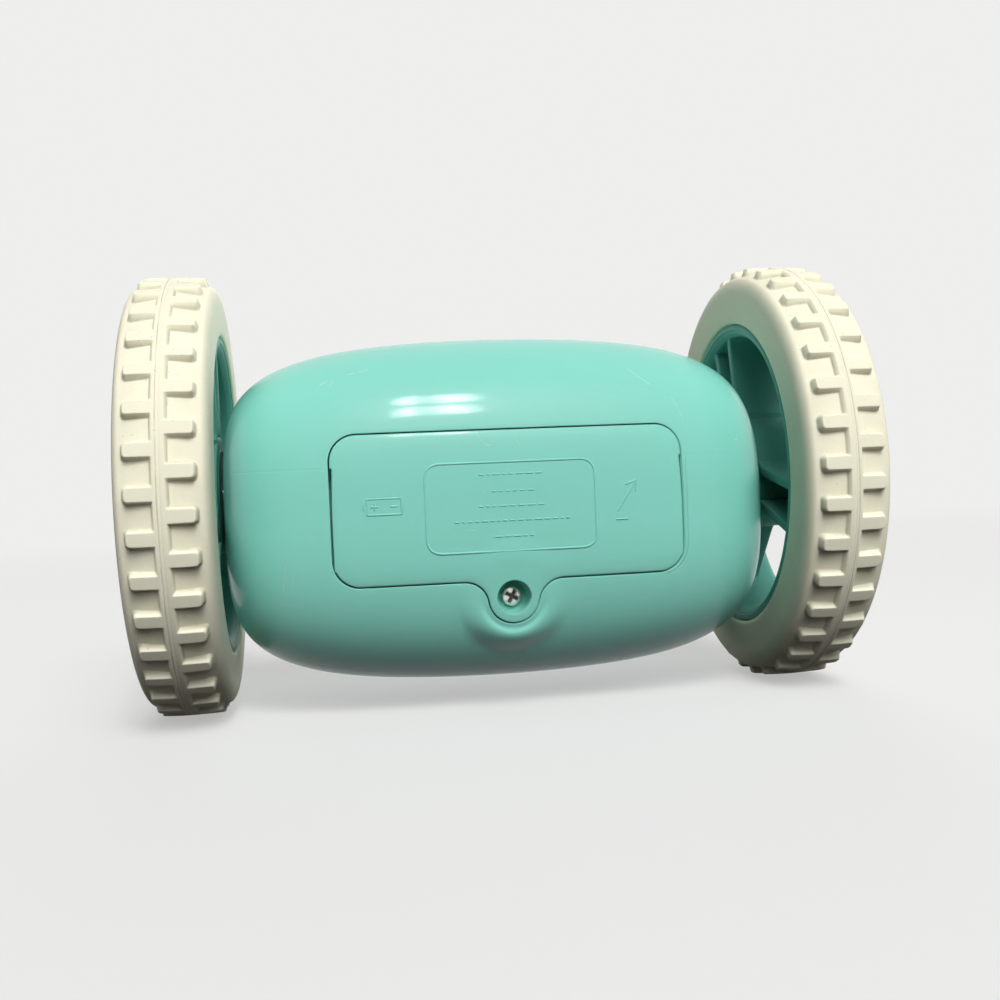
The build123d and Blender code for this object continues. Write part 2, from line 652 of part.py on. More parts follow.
def main_board():
    """Circuit board behind the display and the buttons."""
    low = (-BOARD_WIDTH / 2, BOARD_Y, AXLE_Z - BOARD_BOTTOM_BELOW_AXLE)
    high = (BOARD_WIDTH / 2, BOARD_BACK_Y, AXLE_Z + BOARD_TOP_ABOVE_AXLE)
    board = block(low, high)
    for x, z in board_post_places():
        board -= rod(backward(x, BOARD_Y, z), BOARD_SCREW_SHANK, BOARD_THICKNESS)
    return board


def board_screws():
    """Screws that hold both boards to their posts."""
    length = BOARD_THICKNESS + BOARD_SCREW_LENGTH - BOARD_SCREW_HEAD_HEIGHT
    planes = [backward(x, BOARD_BACK_Y, z) for x, z in board_post_places()]
    planes += [Plane(origin=(x, y, SNOOZE_BOARD_Z), z_dir=(0, 0, -1)) for x, y in snooze_post_places()]
    return [screw(plane, BOARD_SCREW_HEAD, BOARD_SCREW_HEAD_HEIGHT, BOARD_SCREW_SHANK, length)
            for plane in planes]


def tact_switch(plane):
    """A square tactile switch with a round plunger, standing on a plane."""
    case = extrude(plane * Rectangle(SWITCH_SIZE, SWITCH_SIZE), SWITCH_HEIGHT)
    return case + rod(plane.offset(SWITCH_HEIGHT), PLUNGER_RADIUS, PLUNGER_HEIGHT)


def tact_switches():
    """One switch behind each button and one under the snooze pad."""
    planes = [forward(x, BOARD_Y, z) for x, z in button_places()]
    planes.append(upward(0, SNOOZE_Y, SNOOZE_BOARD_Z + BOARD_THICKNESS))
    return [tact_switch(plane) for plane in planes]


def buzzer():
    """Round buzzer on the back of the main board, with its sound hole."""
    plane = backward(0, BOARD_BACK_Y, AXLE_Z - BUZZER_BELOW_AXLE)
    hole = rod(plane.offset(BUZZER_HEIGHT / 2), BUZZER_HOLE, BUZZER_HEIGHT)
    return rod(plane, BUZZER_RADIUS, BUZZER_HEIGHT) - hole


# ---- Ballast ---------------------------------------------------------------------------------
def ballast_post_places():
    """X and Z of the two posts that carry the ballast bar."""
    return [(sign * BALLAST_POST_X, BALLAST_Z) for sign in (1, -1)]


def ballast_bar():
    """Steel bar low in the front of the body."""
    plane = backward(0, BALLAST_Y, BALLAST_Z)
    bar = extrude(plane * Rectangle(BALLAST_WIDTH, BALLAST_HEIGHT), BALLAST_THICKNESS)
    for x, z in ballast_post_places():
        bar -= rod(backward(x, BALLAST_Y, z), BOARD_SCREW_SHANK, BALLAST_THICKNESS)
    return bar


def ballast_screws():
    """Screws that hold the ballast bar to its posts."""
    seat = BALLAST_Y + BALLAST_THICKNESS
    return [screw(backward(x, seat, z), BOARD_SCREW_HEAD, BOARD_SCREW_HEAD_HEIGHT, BOARD_SCREW_SHANK,
                  BALLAST_THICKNESS + BALLAST_SCREW_GRIP) for x, z in ballast_post_places()]


# ---- Battery box -----------------------------------------------------------------------------
def cell_rows():
    """Y and Z of the four cells' axes, and which way each one points along X."""
    middle_y = DECK_Y - CELL_RADIUS - CELL_PITCH / 2
    rows = []
    for depth in (0.5, -0.5):
        for up in (0.5, -0.5):
            rows.append((middle_y + depth * CELL_PITCH, DOOR_Z + up * CELL_PITCH,
                         1 if depth * up > 0 else -1))
    return rows


def battery_box():
    """Open tray for the cells, hung in the deck, with a flange above and below behind it."""
    width, height = box_outline()
    depth = CELL_PITCH + 2 * CELL_RADIUS
    bottom = DECK_Y - depth - BOX_WALL
    box = block((-width / 2, bottom, DOOR_Z - height / 2), (width / 2, DECK_Y, DOOR_Z + height / 2))
    flange_height = height / 2 + BOX_FLANGE
    box += block((-width / 2, DECK_UNDER_Y - BOX_FLANGE, DOOR_Z - flange_height),
                 (width / 2, DECK_UNDER_Y, DOOR_Z + flange_height))
    box -= tab_rod(DOOR_SCREW_BOSS + CAVITY_CLEARANCE, bottom, DECK_Y)
    return box - block((-width / 2 + BOX_WALL, bottom + BOX_WALL, DOOR_Z - height / 2 + BOX_WALL),
                       (width / 2 - BOX_WALL, FAR, DOOR_Z + height / 2 - BOX_WALL))


def box_inner_half():
    """Half the length inside the battery box."""
    return box_outline()[0] / 2 - BOX_WALL


def battery_cell(y, z, way):
    """A cell with its nub against the contact at one end of the box."""
    nub_end = way * (box_inner_half() - CONTACT_THICKNESS)
    start = nub_end - way * (CELL_NUB_LENGTH + CELL_LENGTH)
    plane = Plane(origin=(start, y, z), x_dir=(0, 1, 0), z_dir=(way, 0, 0))
    return rod(plane, CELL_RADIUS, CELL_LENGTH) + rod(plane, CELL_NUB_RADIUS, CELL_LENGTH + CELL_NUB_LENGTH)


def battery_springs():
    """A tapered spring behind each cell's flat end, as a hollow cone."""
    springs = []
    for y, z, way in cell_rows():
        start = -way * (box_inner_half() - CONTACT_THICKNESS)
        plane = Plane(origin=(start, y, z), x_dir=(0, 1, 0), z_dir=(way, 0, 0))
        align = (Align.CENTER, Align.CENTER, Align.MIN)
        outer = plane * Cone(SPRING_RADIUS, SPRING_TIP_RADIUS, SPRING_LENGTH, align=align)
        inner = plane * Cone(SPRING_RADIUS - SPRING_WIRE, SPRING_TIP_RADIUS - SPRING_WIRE,
                             SPRING_LENGTH, align=align)
        springs.append(outer - inner)
    return springs


def battery_contacts():
    """Contact plates on both end walls of the box."""
    plates = []
    half = CONTACT_SIZE / 2
    for y, z, _ in cell_rows():
        for sign in (1, -1):
            ends = sorted((sign * box_inner_half(), sign * (box_inner_half() - CONTACT_THICKNESS)))
            plates.append(block((ends[0], y - half, z - half), (ends[1], y + half, z + half)))
    return plates


# ---- Gears -----------------------------------------------------------------------------------
def involute(angle):
    """The involute function of a pressure angle in radians."""
    return tan(angle) - angle


def half_tooth(teeth, radius):
    """Half the angle of a tooth at a radius, thinned by half of the backlash."""
    pitch = GEAR_MODULE * teeth / 2
    base = pitch * cos(radians(PRESSURE_ANGLE))
    at_pitch = pi / (2 * teeth) - BACKLASH / (4 * pitch)
    flank = acos(min(1.0, base / radius))
    return at_pitch + involute(radians(PRESSURE_ANGLE)) - involute(flank)


def gear_outline(teeth, aim):
    """An involute gear's outline with one tooth centred on an angle in radians."""
    pitch = GEAR_MODULE * teeth / 2
    root = pitch - DEDENDUM * GEAR_MODULE
    tip = pitch + ADDENDUM * GEAR_MODULE
    radii = [root, max(root, pitch - ADDENDUM * GEAR_MODULE / 2), pitch, (pitch + tip) / 2, tip]
    points = []
    for n in range(teeth):
        centre = aim + 2 * pi * n / teeth
        flank = [(radius, half_tooth(teeth, radius)) for radius in radii]
        points += [(r * cos(centre - a), r * sin(centre - a)) for r, a in flank]
        points += [(r * cos(centre + a), r * sin(centre + a)) for r, a in reversed(flank)]
    return make_face(Polyline(*points, close=True))


def gear(x, place, teeth, width, aim, bore):
    """A straight-toothed gear on an axis along X, with a bore."""
    outline = gear_outline(teeth, aim) - Circle(bore)
    return extrude(across(x, *place) * outline, width)


def aim_at(place, other):
    """The angle of one place in (y, z) seen from another."""
    return atan2(other[1] - place[1], other[0] - place[0])


def gap_towards(place, other):
    """The angle that puts a gap of a large gear, and not a tooth, towards another place."""
    return aim_at(place, other) + pi / GEAR_TEETH


def motor_pinion():
    """Pinion on the motor's shaft."""
    width = GEAR_WIDTH + 2 * PINION_OVERHANG
    return gear(STAGE_X[0] - PINION_OVERHANG, MOTOR_PLACE, PINION_TEETH, width,
                aim_at(MOTOR_PLACE, FIRST_PLACE), MOTOR_SHAFT_RADIUS)


def cluster_gear(stage, place, before, after):
    """A large gear driven from one place, with a pinion beside it that drives another."""
    bore = PIN_RADIUS + RUNNING_CLEARANCE
    wheel = gear(STAGE_X[stage], place, GEAR_TEETH, GEAR_WIDTH, gap_towards(place, before), bore)
    pinion_x = STAGE_X[stage] + GEAR_WIDTH
    length = STAGE_X[stage + 1] + GEAR_WIDTH + PINION_OVERHANG - pinion_x
    return wheel + gear(pinion_x, place, PINION_TEETH, length, aim_at(place, after), bore)


def first_gear():
    """Cluster gear that the motor's pinion drives."""
    return cluster_gear(0, FIRST_PLACE, MOTOR_PLACE, SECOND_PLACE)


def second_gear():
    """Cluster gear that drives the axle's gear."""
    return cluster_gear(1, SECOND_PLACE, FIRST_PLACE, AXLE_PLACE)


def axle_gear():
    """Gear pressed on the axle."""
    return gear(STAGE_X[2], AXLE_PLACE, GEAR_TEETH, GEAR_WIDTH,
                gap_towards(AXLE_PLACE, SECOND_PLACE), AXLE_RADIUS)


# ---- Drive case and motor --------------------------------------------------------------------
def train_hull(grow):
    """Outline round all the gears of one train, in Y and Z."""
    tip = GEAR_MODULE * (GEAR_TEETH / 2 + ADDENDUM) + grow
    pinion_tip = GEAR_MODULE * (PINION_TEETH / 2 + ADDENDUM) + grow
    circles = [Pos(*place) * Circle(tip) for place in (AXLE_PLACE, SECOND_PLACE, FIRST_PLACE)]
    circles.append(Pos(*MOTOR_PLACE) * Circle(pinion_tip))
    return make_hull([edge for circle in circles for edge in circle.edges()])


def cover_screw_places():
    """Y and Z of the screws that hold the gear cover."""
    return [(y, AXLE_Z + up) for y, up in COVER_SCREW_PLACES]


def bulkhead():
    """Plate across the body that carries the motor and the inner ends of the gear pins."""
    back_edge = DECK_UNDER_Y - BULKHEAD_DECK_GAP
    plate = block((BULKHEAD_X, -FAR, -FAR), (BULKHEAD_X + BULKHEAD_THICKNESS, back_edge, FAR))
    plate &= CAVITY_FORM
    for place in cover_screw_places():
        plate += rod(across(BULKHEAD_X - COVER_BOSS_LENGTH, *place), COVER_TAB_RADIUS, COVER_BOSS_LENGTH)
        plate -= rod(across(BULKHEAD_X - COVER_BOSS_LENGTH, *place), COVER_SCREW_SHANK, BODY_LENGTH)
    plate -= rod(across(0, *AXLE_PLACE), SHAFT_HOLE, BODY_LENGTH)
    plate -= rod(across(0, *MOTOR_PLACE), MOTOR_BOSS_RADIUS, BODY_LENGTH)
    for place in (FIRST_PLACE, SECOND_PLACE):
        plate -= rod(across(0, *place), PIN_RADIUS, BODY_LENGTH)
    return plate


def gear_cover():
    """Cup over the gears that carries the outer ends of the pins."""
    start = BULKHEAD_X + BULKHEAD_THICKNESS
    outer = extrude(across(start, 0, 0) * train_hull(COVER_ROOM + COVER_WALL), COVER_X + COVER_WALL - start)
    inner = extrude(across(start, 0, 0) * train_hull(COVER_ROOM), COVER_X - start)
    for place in cover_screw_places():
        outer += rod(across(start, *place), COVER_TAB_RADIUS, COVER_TAB_THICKNESS)
    cover = (outer & body_form(WALL + CAVITY_CLEARANCE)) - inner
    for place in cover_screw_places():
        cover -= rod(across(0, *place), COVER_SCREW_SHANK, BODY_LENGTH)
    cover -= rod(across(0, *AXLE_PLACE), SHAFT_HOLE, BODY_LENGTH)
    for place in (FIRST_PLACE, SECOND_PLACE):
        cover -= rod(across(0, *place), PIN_RADIUS, BODY_LENGTH)
    return cover


def cover_screws():
    """Screws through the gear cover's tabs into the bulkhead."""
    seat = BULKHEAD_X + BULKHEAD_THICKNESS + COVER_TAB_THICKNESS
    length = COVER_TAB_THICKNESS + BULKHEAD_THICKNESS + COVER_BOSS_LENGTH
    return [screw(across(seat, *place), COVER_SCREW_HEAD, COVER_SCREW_HEAD_HEIGHT,
                  COVER_SCREW_SHANK, length) for place in cover_screw_places()]


def gear_pins():
    """Fixed pins that the cluster gears turn on."""
    length = COVER_X + COVER_WALL - BULKHEAD_X
    return [rod(across(BULKHEAD_X, *place), PIN_RADIUS, length) for place in (FIRST_PLACE, SECOND_PLACE)]


def motor():
    """Small can motor with flats towards the front and back, behind the bulkhead."""
    plane = across(BULKHEAD_X - MOTOR_LENGTH, *MOTOR_PLACE)
    can = Circle(MOTOR_RADIUS) & Rectangle(MOTOR_FLATS, 2 * MOTOR_RADIUS)
    shape = extrude(plane * can, MOTOR_LENGTH)
    shape += rod(plane, MOTOR_BOSS_RADIUS, MOTOR_LENGTH + BULKHEAD_THICKNESS)
    bore_start = across(BULKHEAD_X - MOTOR_SHAFT_INSIDE, *MOTOR_PLACE)
    return shape - rod(bore_start, MOTOR_SHAFT_RADIUS + RUNNING_CLEARANCE, BODY_LENGTH)


def motor_shaft():
    """The motor's shaft, from inside the can to the end of its pinion."""
    start = BULKHEAD_X - MOTOR_SHAFT_INSIDE + CAVITY_CLEARANCE
    end = STAGE_X[0] + GEAR_WIDTH + PINION_OVERHANG
    return rod(across(start, *MOTOR_PLACE), MOTOR_SHAFT_RADIUS, end - start)


# ---- Axle ------------------------------------------------------------------------------------
HUB_INNER_X = BODY_LENGTH / 2 + HUB_GAP
SPOKE_X = TYRE_X - RIM_WIDTH / 2 + SPOKE_SETBACK
HUB_OUTER_X = SPOKE_X + SPOKE_DEPTH + HUB_PROUD
POCKET_X = HUB_OUTER_X - CAP_THICKNESS - WHEEL_SCREW_HEAD_HEIGHT - SCREW_POCKET_ROOM


def axle():
    """Steel axle with a threaded end for the wheel screw."""
    shaft = rod(across(AXLE_INNER_X, *AXLE_PLACE), AXLE_RADIUS, POCKET_X - AXLE_INNER_X)
    hole_x = POCKET_X - WHEEL_SCREW_LENGTH
    return shaft - rod(across(hole_x, *AXLE_PLACE), WHEEL_SCREW_SHANK, WHEEL_SCREW_LENGTH)


def axle_bush():
    """Flanged bush in the end of the body, where the axle leaves it."""
    end_x = STATIONS[-1] * BODY_LENGTH / 2
    inner_x = STATIONS[-1] * (BODY_LENGTH / 2 - WALL)
    bush = rod(across(inner_x, *AXLE_PLACE), BUSH_RADIUS, end_x - inner_x)
    bush += rod(across(inner_x - BUSH_FLANGE_THICKNESS, *AXLE_PLACE), BUSH_FLANGE_RADIUS,
                BUSH_FLANGE_THICKNESS)
    return bush - rod(across(0, *AXLE_PLACE), SHAFT_HOLE, BODY_LENGTH)


def wheel_screw():
    """Screw that holds the wheel on the axle's end."""
    return screw(across(POCKET_X, *AXLE_PLACE), WHEEL_SCREW_HEAD, WHEEL_SCREW_HEAD_HEIGHT,
                 WHEEL_SCREW_SHANK, WHEEL_SCREW_LENGTH)


# ---- Wheels ----------------------------------------------------------------------------------
def tyre_profile():
    """Half of the tyre's cut face: along the axle, then out from it."""
    half = TYRE_WIDTH / 2
    ground = WHEEL_RADIUS - TREAD_DEPTH
    corners = [(-half, TYRE_BORE), (half, TYRE_BORE), (half, ground - SHOULDER_DROP), (0, ground),
               (-half, ground - SHOULDER_DROP)]
    face = make_face(Polyline(*corners, close=True))
    shoulders = face.vertices().filter_by(lambda v: abs(v.Y - ground + SHOULDER_DROP) < LUG_SET_DOWN)
    return fillet(shoulders, SHOULDER_ROUND)


def spin_about_axle(profile):
    """A profile, drawn along the axle and out from it, turned once round the axle line."""
    return revolve(profile, Axis.X)


def lug(number, phase):
    """One tread lug, from the rib outwards; phase is a share of the lugs' pitch."""
    length = LUG_REACH
    plan = Pos(length / 2, 0) * Rectangle(length, LUG_THICKNESS)
    outer = plan.vertices().sort_by(Axis.X)[-2:]
    plan = fillet(outer, LUG_ROUND)
    root = WHEEL_RADIUS - TREAD_DEPTH - SHOULDER_DROP
    block_up = extrude(Pos(0, 0, root) * plan, WHEEL_RADIUS - LUG_SET_DOWN - root)
    return Rot(360 * (number + phase) / LUG_COUNT, 0, 0) * block_up


def tyre():
    """Rubber tyre: crowned tread, a middle rib and two rows of staggered lugs."""
    body = spin_about_axle(tyre_profile())
    rib = Pos(0, WHEEL_RADIUS - TREAD_DEPTH) * Rectangle(RIB_WIDTH, 2 * TREAD_DEPTH)
    body += spin_about_axle(rib)
    outer_row = [lug(n, 0.0) for n in range(LUG_COUNT)]
    inner_row = [mirror(lug(n, LUG_STAGGER), Plane.YZ) for n in range(LUG_COUNT)]
    return body + outer_row + inner_row


def spoke_outline(inset):
    """A spoke's outline, widening outwards, drawn in at its sides by an amount."""
    start = HUB_RADIUS / 2
    end = RIM_BORE + RIM_WALL / 2
    hub_half = SPOKE_HUB_WIDTH / 2 - inset
    rim_half = SPOKE_RIM_WIDTH / 2 - inset
    return make_face(Polyline((-hub_half, start), (hub_half, start), (rim_half, end), (-rim_half, end),
                              close=True))


def spoke(angle):
    """A channel-shaped spoke: two ribs with a web at their outer edges."""
    start = SPOKE_X - TYRE_X
    channel = extrude(across(start, 0, 0) * spoke_outline(0.0), SPOKE_DEPTH)
    channel -= extrude(across(start, 0, 0) * spoke_outline(SPOKE_RIB), SPOKE_DEPTH - SPOKE_WEB)
    return Rot(-angle, 0, 0) * channel


def rim(first_angle):
    """Rim with a barrel, spokes and a hub that reaches in towards the body."""
    half = RIM_WIDTH / 2
    barrel = Pos(0, TYRE_BORE - RIM_WALL / 2) * Rectangle(RIM_WIDTH, RIM_WALL)
    inner_edges = barrel.vertices().filter_by(lambda v: v.Y < TYRE_BORE - RIM_WALL / 2)
    shape = spin_about_axle(fillet(inner_edges, RIM_EDGE_ROUND))
    hub_start = SPOKE_X - TYRE_X
    hub = rod(across(hub_start, 0, 0), HUB_RADIUS, HUB_OUTER_X - SPOKE_X)
    hub += rod(across(HUB_INNER_X - TYRE_X, 0, 0), HUB_BOSS_RADIUS, SPOKE_X - HUB_INNER_X)
    for n in range(SPOKE_COUNT):
        shape += spoke(first_angle + 360 * n / SPOKE_COUNT)
    shape += hub
    shape -= rod(across(-half - HUB_GAP - TYRE_WIDTH, 0, 0), AXLE_RADIUS, FAR)
    shape -= rod(across(POCKET_X - TYRE_X, 0, 0), WHEEL_SCREW_HEAD + SCREW_POCKET_ROOM, FAR)
    return shape - rod(across(HUB_OUTER_X - CAP_THICKNESS - TYRE_X, 0, 0), CAP_RADIUS, FAR)


def hub_cap():
    """Slightly domed cap in the outer face of the hub."""
    cap = rod(across(HUB_OUTER_X - CAP_THICKNESS - TYRE_X, 0, 0), CAP_RADIUS, CAP_THICKNESS + CAP_DOME)
    return fillet(cap.faces().sort_by(Axis.X)[-1].edges(), CAP_DOME)


def wheel_place():
    """Where a wheel's own middle lies on the right side."""
    return Pos(TYRE_X, *AXLE_PLACE)


# ---- Writing the parts -----------------------------------------------------------------------
def middle_parts():
    """Every node of the body that isn't part of a drive train or a wheel."""
    parts = {
        "front_shell": front_shell(),
        "rear_shell": rear_shell(),
        "battery_door": battery_door(),
        "door_screw": door_screw(),
        "case_screws": case_screws(),
        "face_plate": face_plate(),
        "lcd_lens": lcd_lens(),
        "lcd_glass": lcd_glass(),
        "lcd_holder": lcd_holder(),
        "main_board": main_board(),
        "snooze_board": snooze_board(),
        "board_screws": board_screws(),
        "tact_switches": tact_switches(),
        "snooze_button": snooze_button(),
        "buzzer": buzzer(),
        "ballast_bar": ballast_bar(),
        "ballast_screws": ballast_screws(),
        "battery_box": battery_box(),
        "battery_springs": battery_springs(),
        "battery_contacts": battery_contacts(),
    }
    for name, (x, z) in zip(BUTTON_NAMES, button_places()):
        parts[name + "_button"] = small_button(x, z)
    for number, row in enumerate(cell_rows(), start=1):
        parts[f"battery_cell_{number}"] = battery_cell(*row)
    return parts


def drive_parts():
    """Every node of one drive train, drawn for the right side."""
    return {
        "bulkhead": bulkhead(),
        "gear_cover": gear_cover(),
        "cover_screws": cover_screws(),
        "gear_pins": gear_pins(),
        "motor": motor(),
        "motor_shaft": motor_shaft(),
        "motor_pinion": motor_pinion(),
        "first_gear": first_gear(),
        "second_gear": second_gear(),
        "axle_gear": axle_gear(),
        "axle": axle(),
        "axle_bush": axle_bush(),
        "wheel_screw": wheel_screw(),
        "hub_cap": wheel_place() * hub_cap(),
        "tyre": wheel_place() * tyre(),
    }


def all_parts():
    """Every node by name."""
    parts = middle_parts()
    drive = drive_parts()
    for side in SIDES:
        for name, shape in drive.items():
            pieces = shape if isinstance(shape, list) else [shape]
            parts[f"{side}_{name}"] = [on_side(side, piece) for piece in pieces]
        parts[f"{side}_rim"] = on_side(side, wheel_place() * rim(SPOKE_ANGLE[side]))
    return parts


os.makedirs("parts", exist_ok=True)
for node, shape in all_parts().items():
    pieces = shape if isinstance(shape, list) else [shape]
    solids = [solid for piece in pieces for solid in piece.solids()]
    export_step(solids[0] if len(solids) == 1 else Compound(children=solids), f"parts/{node}.step")
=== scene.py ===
import json
import logging
from dataclasses import dataclass, field
from enum import Enum
from functools import cache
from typing import Callable, Optional, Sequence

import bmesh
import bpy
import numpy as np
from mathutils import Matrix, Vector


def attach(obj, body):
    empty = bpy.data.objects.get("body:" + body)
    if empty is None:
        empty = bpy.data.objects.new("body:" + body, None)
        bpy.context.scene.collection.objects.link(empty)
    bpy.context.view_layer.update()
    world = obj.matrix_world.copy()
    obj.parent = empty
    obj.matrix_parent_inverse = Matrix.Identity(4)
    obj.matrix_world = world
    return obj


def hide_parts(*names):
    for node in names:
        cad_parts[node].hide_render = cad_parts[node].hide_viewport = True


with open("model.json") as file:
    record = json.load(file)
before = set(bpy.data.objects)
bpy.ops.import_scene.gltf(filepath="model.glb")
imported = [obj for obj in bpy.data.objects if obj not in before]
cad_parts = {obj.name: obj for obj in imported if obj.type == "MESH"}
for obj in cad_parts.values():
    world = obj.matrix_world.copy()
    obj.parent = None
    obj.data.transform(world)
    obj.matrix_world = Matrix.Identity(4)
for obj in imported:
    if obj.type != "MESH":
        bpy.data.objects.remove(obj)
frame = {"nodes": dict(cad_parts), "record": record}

MM = 0.001
AXLE_Z = 44.5
TYRE_X = 62.6                  # middle plane of a wheel
MERGE_DISTANCE = 0.002
NO_EDGE = 50.0                 # stored distance where no edge is near
LIP = "lip_distance"
LOG = logging.getLogger("clock")

Array = np.ndarray
Mesh = bpy.types.Mesh
Node = bpy.types.Node
NodeTree = bpy.types.NodeTree
Object = bpy.types.Object
Socket = bpy.types.NodeSocket
Pair = tuple[float, float]
Triple = tuple[float, float, float]


class Side(Enum):
    """The two ends of the axle line; the value is the sign of X."""

    RIGHT = 1
    LEFT = -1

    @property
    def label(self) -> str:
        """The word that starts this side's names."""
        return self.name.lower()


# ---- Mesh building ---------------------------------------------------------------------------
def merged(mesh: Mesh) -> bmesh.types.BMesh:
    """A mesh opened for editing, with its doubled points merged.

    Args:
        mesh: the mesh.

    Returns:
        The open mesh, to be written back and freed.
    """
    work = bmesh.new()
    work.from_mesh(mesh)
    bmesh.ops.remove_doubles(work, verts=work.verts, dist=MERGE_DISTANCE * MM)
    return work


def smooth_by_angle(mesh: Mesh, degrees: float) -> None:
    """Shades a mesh smooth, with edges over an angle kept sharp.

    Args:
        mesh: the mesh.
        degrees: the angle.
    """
    mesh.polygons.foreach_set("use_smooth", np.ones(len(mesh.polygons), bool))
    mesh.set_sharp_from_angle(angle=np.radians(degrees))
    mesh.update()


def store_lip(mesh: Mesh, away: Array) -> None:
    """Stores each point's distance from an edge, for the finishes that use it."""
    mesh.attributes.new(LIP, "FLOAT", "POINT").data.foreach_set("value", away.astype(np.float32))


def read(items: bpy.types.bpy_prop_collection, name: str, width: int = 3, kind: type = float) -> Array:
    """One property of a mesh's points, corners or faces, as rows of an array.

    Args:
        items: the list to read.
        name: the property.
        width: numbers in each item.
        kind: their type.

    Returns:
        Array of shape (items, width), or (items,) where the width is 1.
    """
    values = np.zeros(len(items) * width, kind)
    items.foreach_get(name, values)
    return values.reshape(-1, width) if width > 1 else values


def placed(name: str, mesh: Mesh, finish: "Finish", body: str, slot: str, node: str = "") -> Object:
    """Shows a finished mesh as a piece.

    Args:
        name: the object's name.
        mesh: its mesh, in metres, in the row's frame.
        finish: its finish.
        body: the body that it rides on.
        slot: the record's material slot; not used.
        node: the construction node that it replaces, if any.

    Returns:
        The object.
    """
    mesh.materials.append(finish.material())
    shown = bpy.data.objects.new(name, mesh)
    bpy.context.scene.collection.objects.link(shown)
    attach(shown, body)
    if node:
        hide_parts(node)
    return shown


class Piece:
    """One visible piece, put together from surfaces that are grids of points in millimetres."""

    def __init__(self, name: str) -> None:
        """Starts an empty piece.

        Args:
            name: the name of its object.
        """
        self.name = name
        self.points: list[Array] = []
        self.values: list[Array] = []
        self.faces: list[list[int]] = []
        self.count = 0

    def keep(self, points: Array, values: Optional[Array] = None) -> Array:
        """Stores points with their distances from an edge, and gives their numbers.

        Args:
            points: array whose last axis is (x, y, z).
            values: their distances, if any.

        Returns:
            The numbers, in the shape of the grid.
        """
        flat = points.reshape(-1, 3)
        numbers = np.arange(len(flat)) + self.count
        self.points.append(flat)
        self.values.append(np.full(len(flat), NO_EDGE) if values is None else values.reshape(-1))
        self.count += len(flat)
        return numbers.reshape(points.shape[:-1])

    def add_grid(self, points: Array, around: bool = False, along: bool = False,
                 values: Optional[Array] = None) -> None:
        """Adds a surface given as rows and columns of points.

        Args:
            points: array of shape (rows, columns, 3).
            around: joins the last row to the first.
            along: joins the last column to the first.
            values: each point's distance from an edge.
        """
        index = self.keep(points, values)
        if around:
            index = np.vstack([index, index[:1]])
        if along:
            index = np.hstack([index, index[:, :1]])
        quads = np.stack([index[:-1, :-1], index[1:, :-1], index[1:, 1:], index[:-1, 1:]], axis=-1)
        self.faces += quads.reshape(-1, 4).tolist()

    def add_cap(self, ring: Array) -> None:
        """Closes a ring of points with one flat face."""
        self.faces.append(self.keep(ring).tolist())

    def add_rod(self, rows: Array) -> None:
        """Adds a surface whose columns close, with a cap on its first and last row.

        Args:
            rows: array of shape (rows, columns, 3).
        """
        self.add_grid(rows, along=True)
        self.add_cap(rows[0])
        self.add_cap(rows[-1])

    def build(self, finish: "Finish", sharp: float, body: str, slot: str, node: str = "") -> Object:
        """Makes the object: doubles merged, faces outwards, smooth apart from sharp edges.

        Args:
            finish: its finish.
            sharp: angle in degrees from which an edge stays sharp.
            body: the body that it rides on.
            slot: the record's material slot.
            node: the construction node that it replaces, if any.

        Returns:
            The object.
        """
        mesh = bpy.data.meshes.new(self.name)
        mesh.from_pydata((np.vstack(self.points) * MM).tolist(), [], self.faces)
        store_lip(mesh, np.concatenate(self.values))
        work = merged(mesh)
        bmesh.ops.recalc_face_normals(work, faces=work.faces)
        work.to_mesh(mesh)
        work.free()
        smooth_by_angle(mesh, sharp)
        return placed(self.name, mesh, finish, body, slot, node)


def eased(share: Array) -> Array:
    """3 s^2 - 2 s^3 of a share held within 0 and 1."""
    held = np.clip(share, 0, 1)
    return held * held * (3 - 2 * held)


def even_turns(columns: int) -> Array:
    """Even steps once round, in radians."""
    return np.linspace(0, 2 * np.pi, columns, endpoint=False)


def rounded_loop(corners: Sequence[Pair], radii: Sequence[float], steps: int = 4) -> Array:
    """A closed outline with each corner turned by a curve that touches both its sides.

    Each corner is replaced by points of a quadratic curve from one tangent point to the other,
    which is close to an arc for the small radii used here.

    Args:
        corners: the outline's corners, in order.
        radii: how far from each corner the rounding starts.
        steps: points in each rounding, less one.

    Returns:
        Array of shape (corners * (steps + 1), 2).
    """
    here = np.asarray(corners, float)
    before = np.roll(here, 1, axis=0) - here
    after = np.roll(here, -1, axis=0) - here
    reach = np.asarray(radii, float)[:, None]
    start = here + before / np.linalg.norm(before, axis=1, keepdims=True) * reach
    end = here + after / np.linalg.norm(after, axis=1, keepdims=True) * reach
    t = np.linspace(0, 1, steps + 1)[None, :, None]
    curve = (1 - t) ** 2 * start[:, None] + 2 * t * (1 - t) * here[:, None] + t ** 2 * end[:, None]
    return curve.reshape(-1, 2)


def resampled(outline: Array, places: Callable[[float], Array]) -> Array:
    """Points of a closed outline at chosen runs along it.

    Args:
        outline: its corner points, array of shape (corners, 2).
        places: gives the runs when told the whole length.

    Returns:
        Array of shape (runs, 2).
    """
    closed = np.vstack([outline, outline[:1]])
    run = np.concatenate([[0.0], np.cumsum(np.linalg.norm(np.diff(closed, axis=0), axis=1))])
    at = places(run[-1])
    return np.stack([np.interp(at, run, closed[:, 0]), np.interp(at, run, closed[:, 1])], axis=-1)


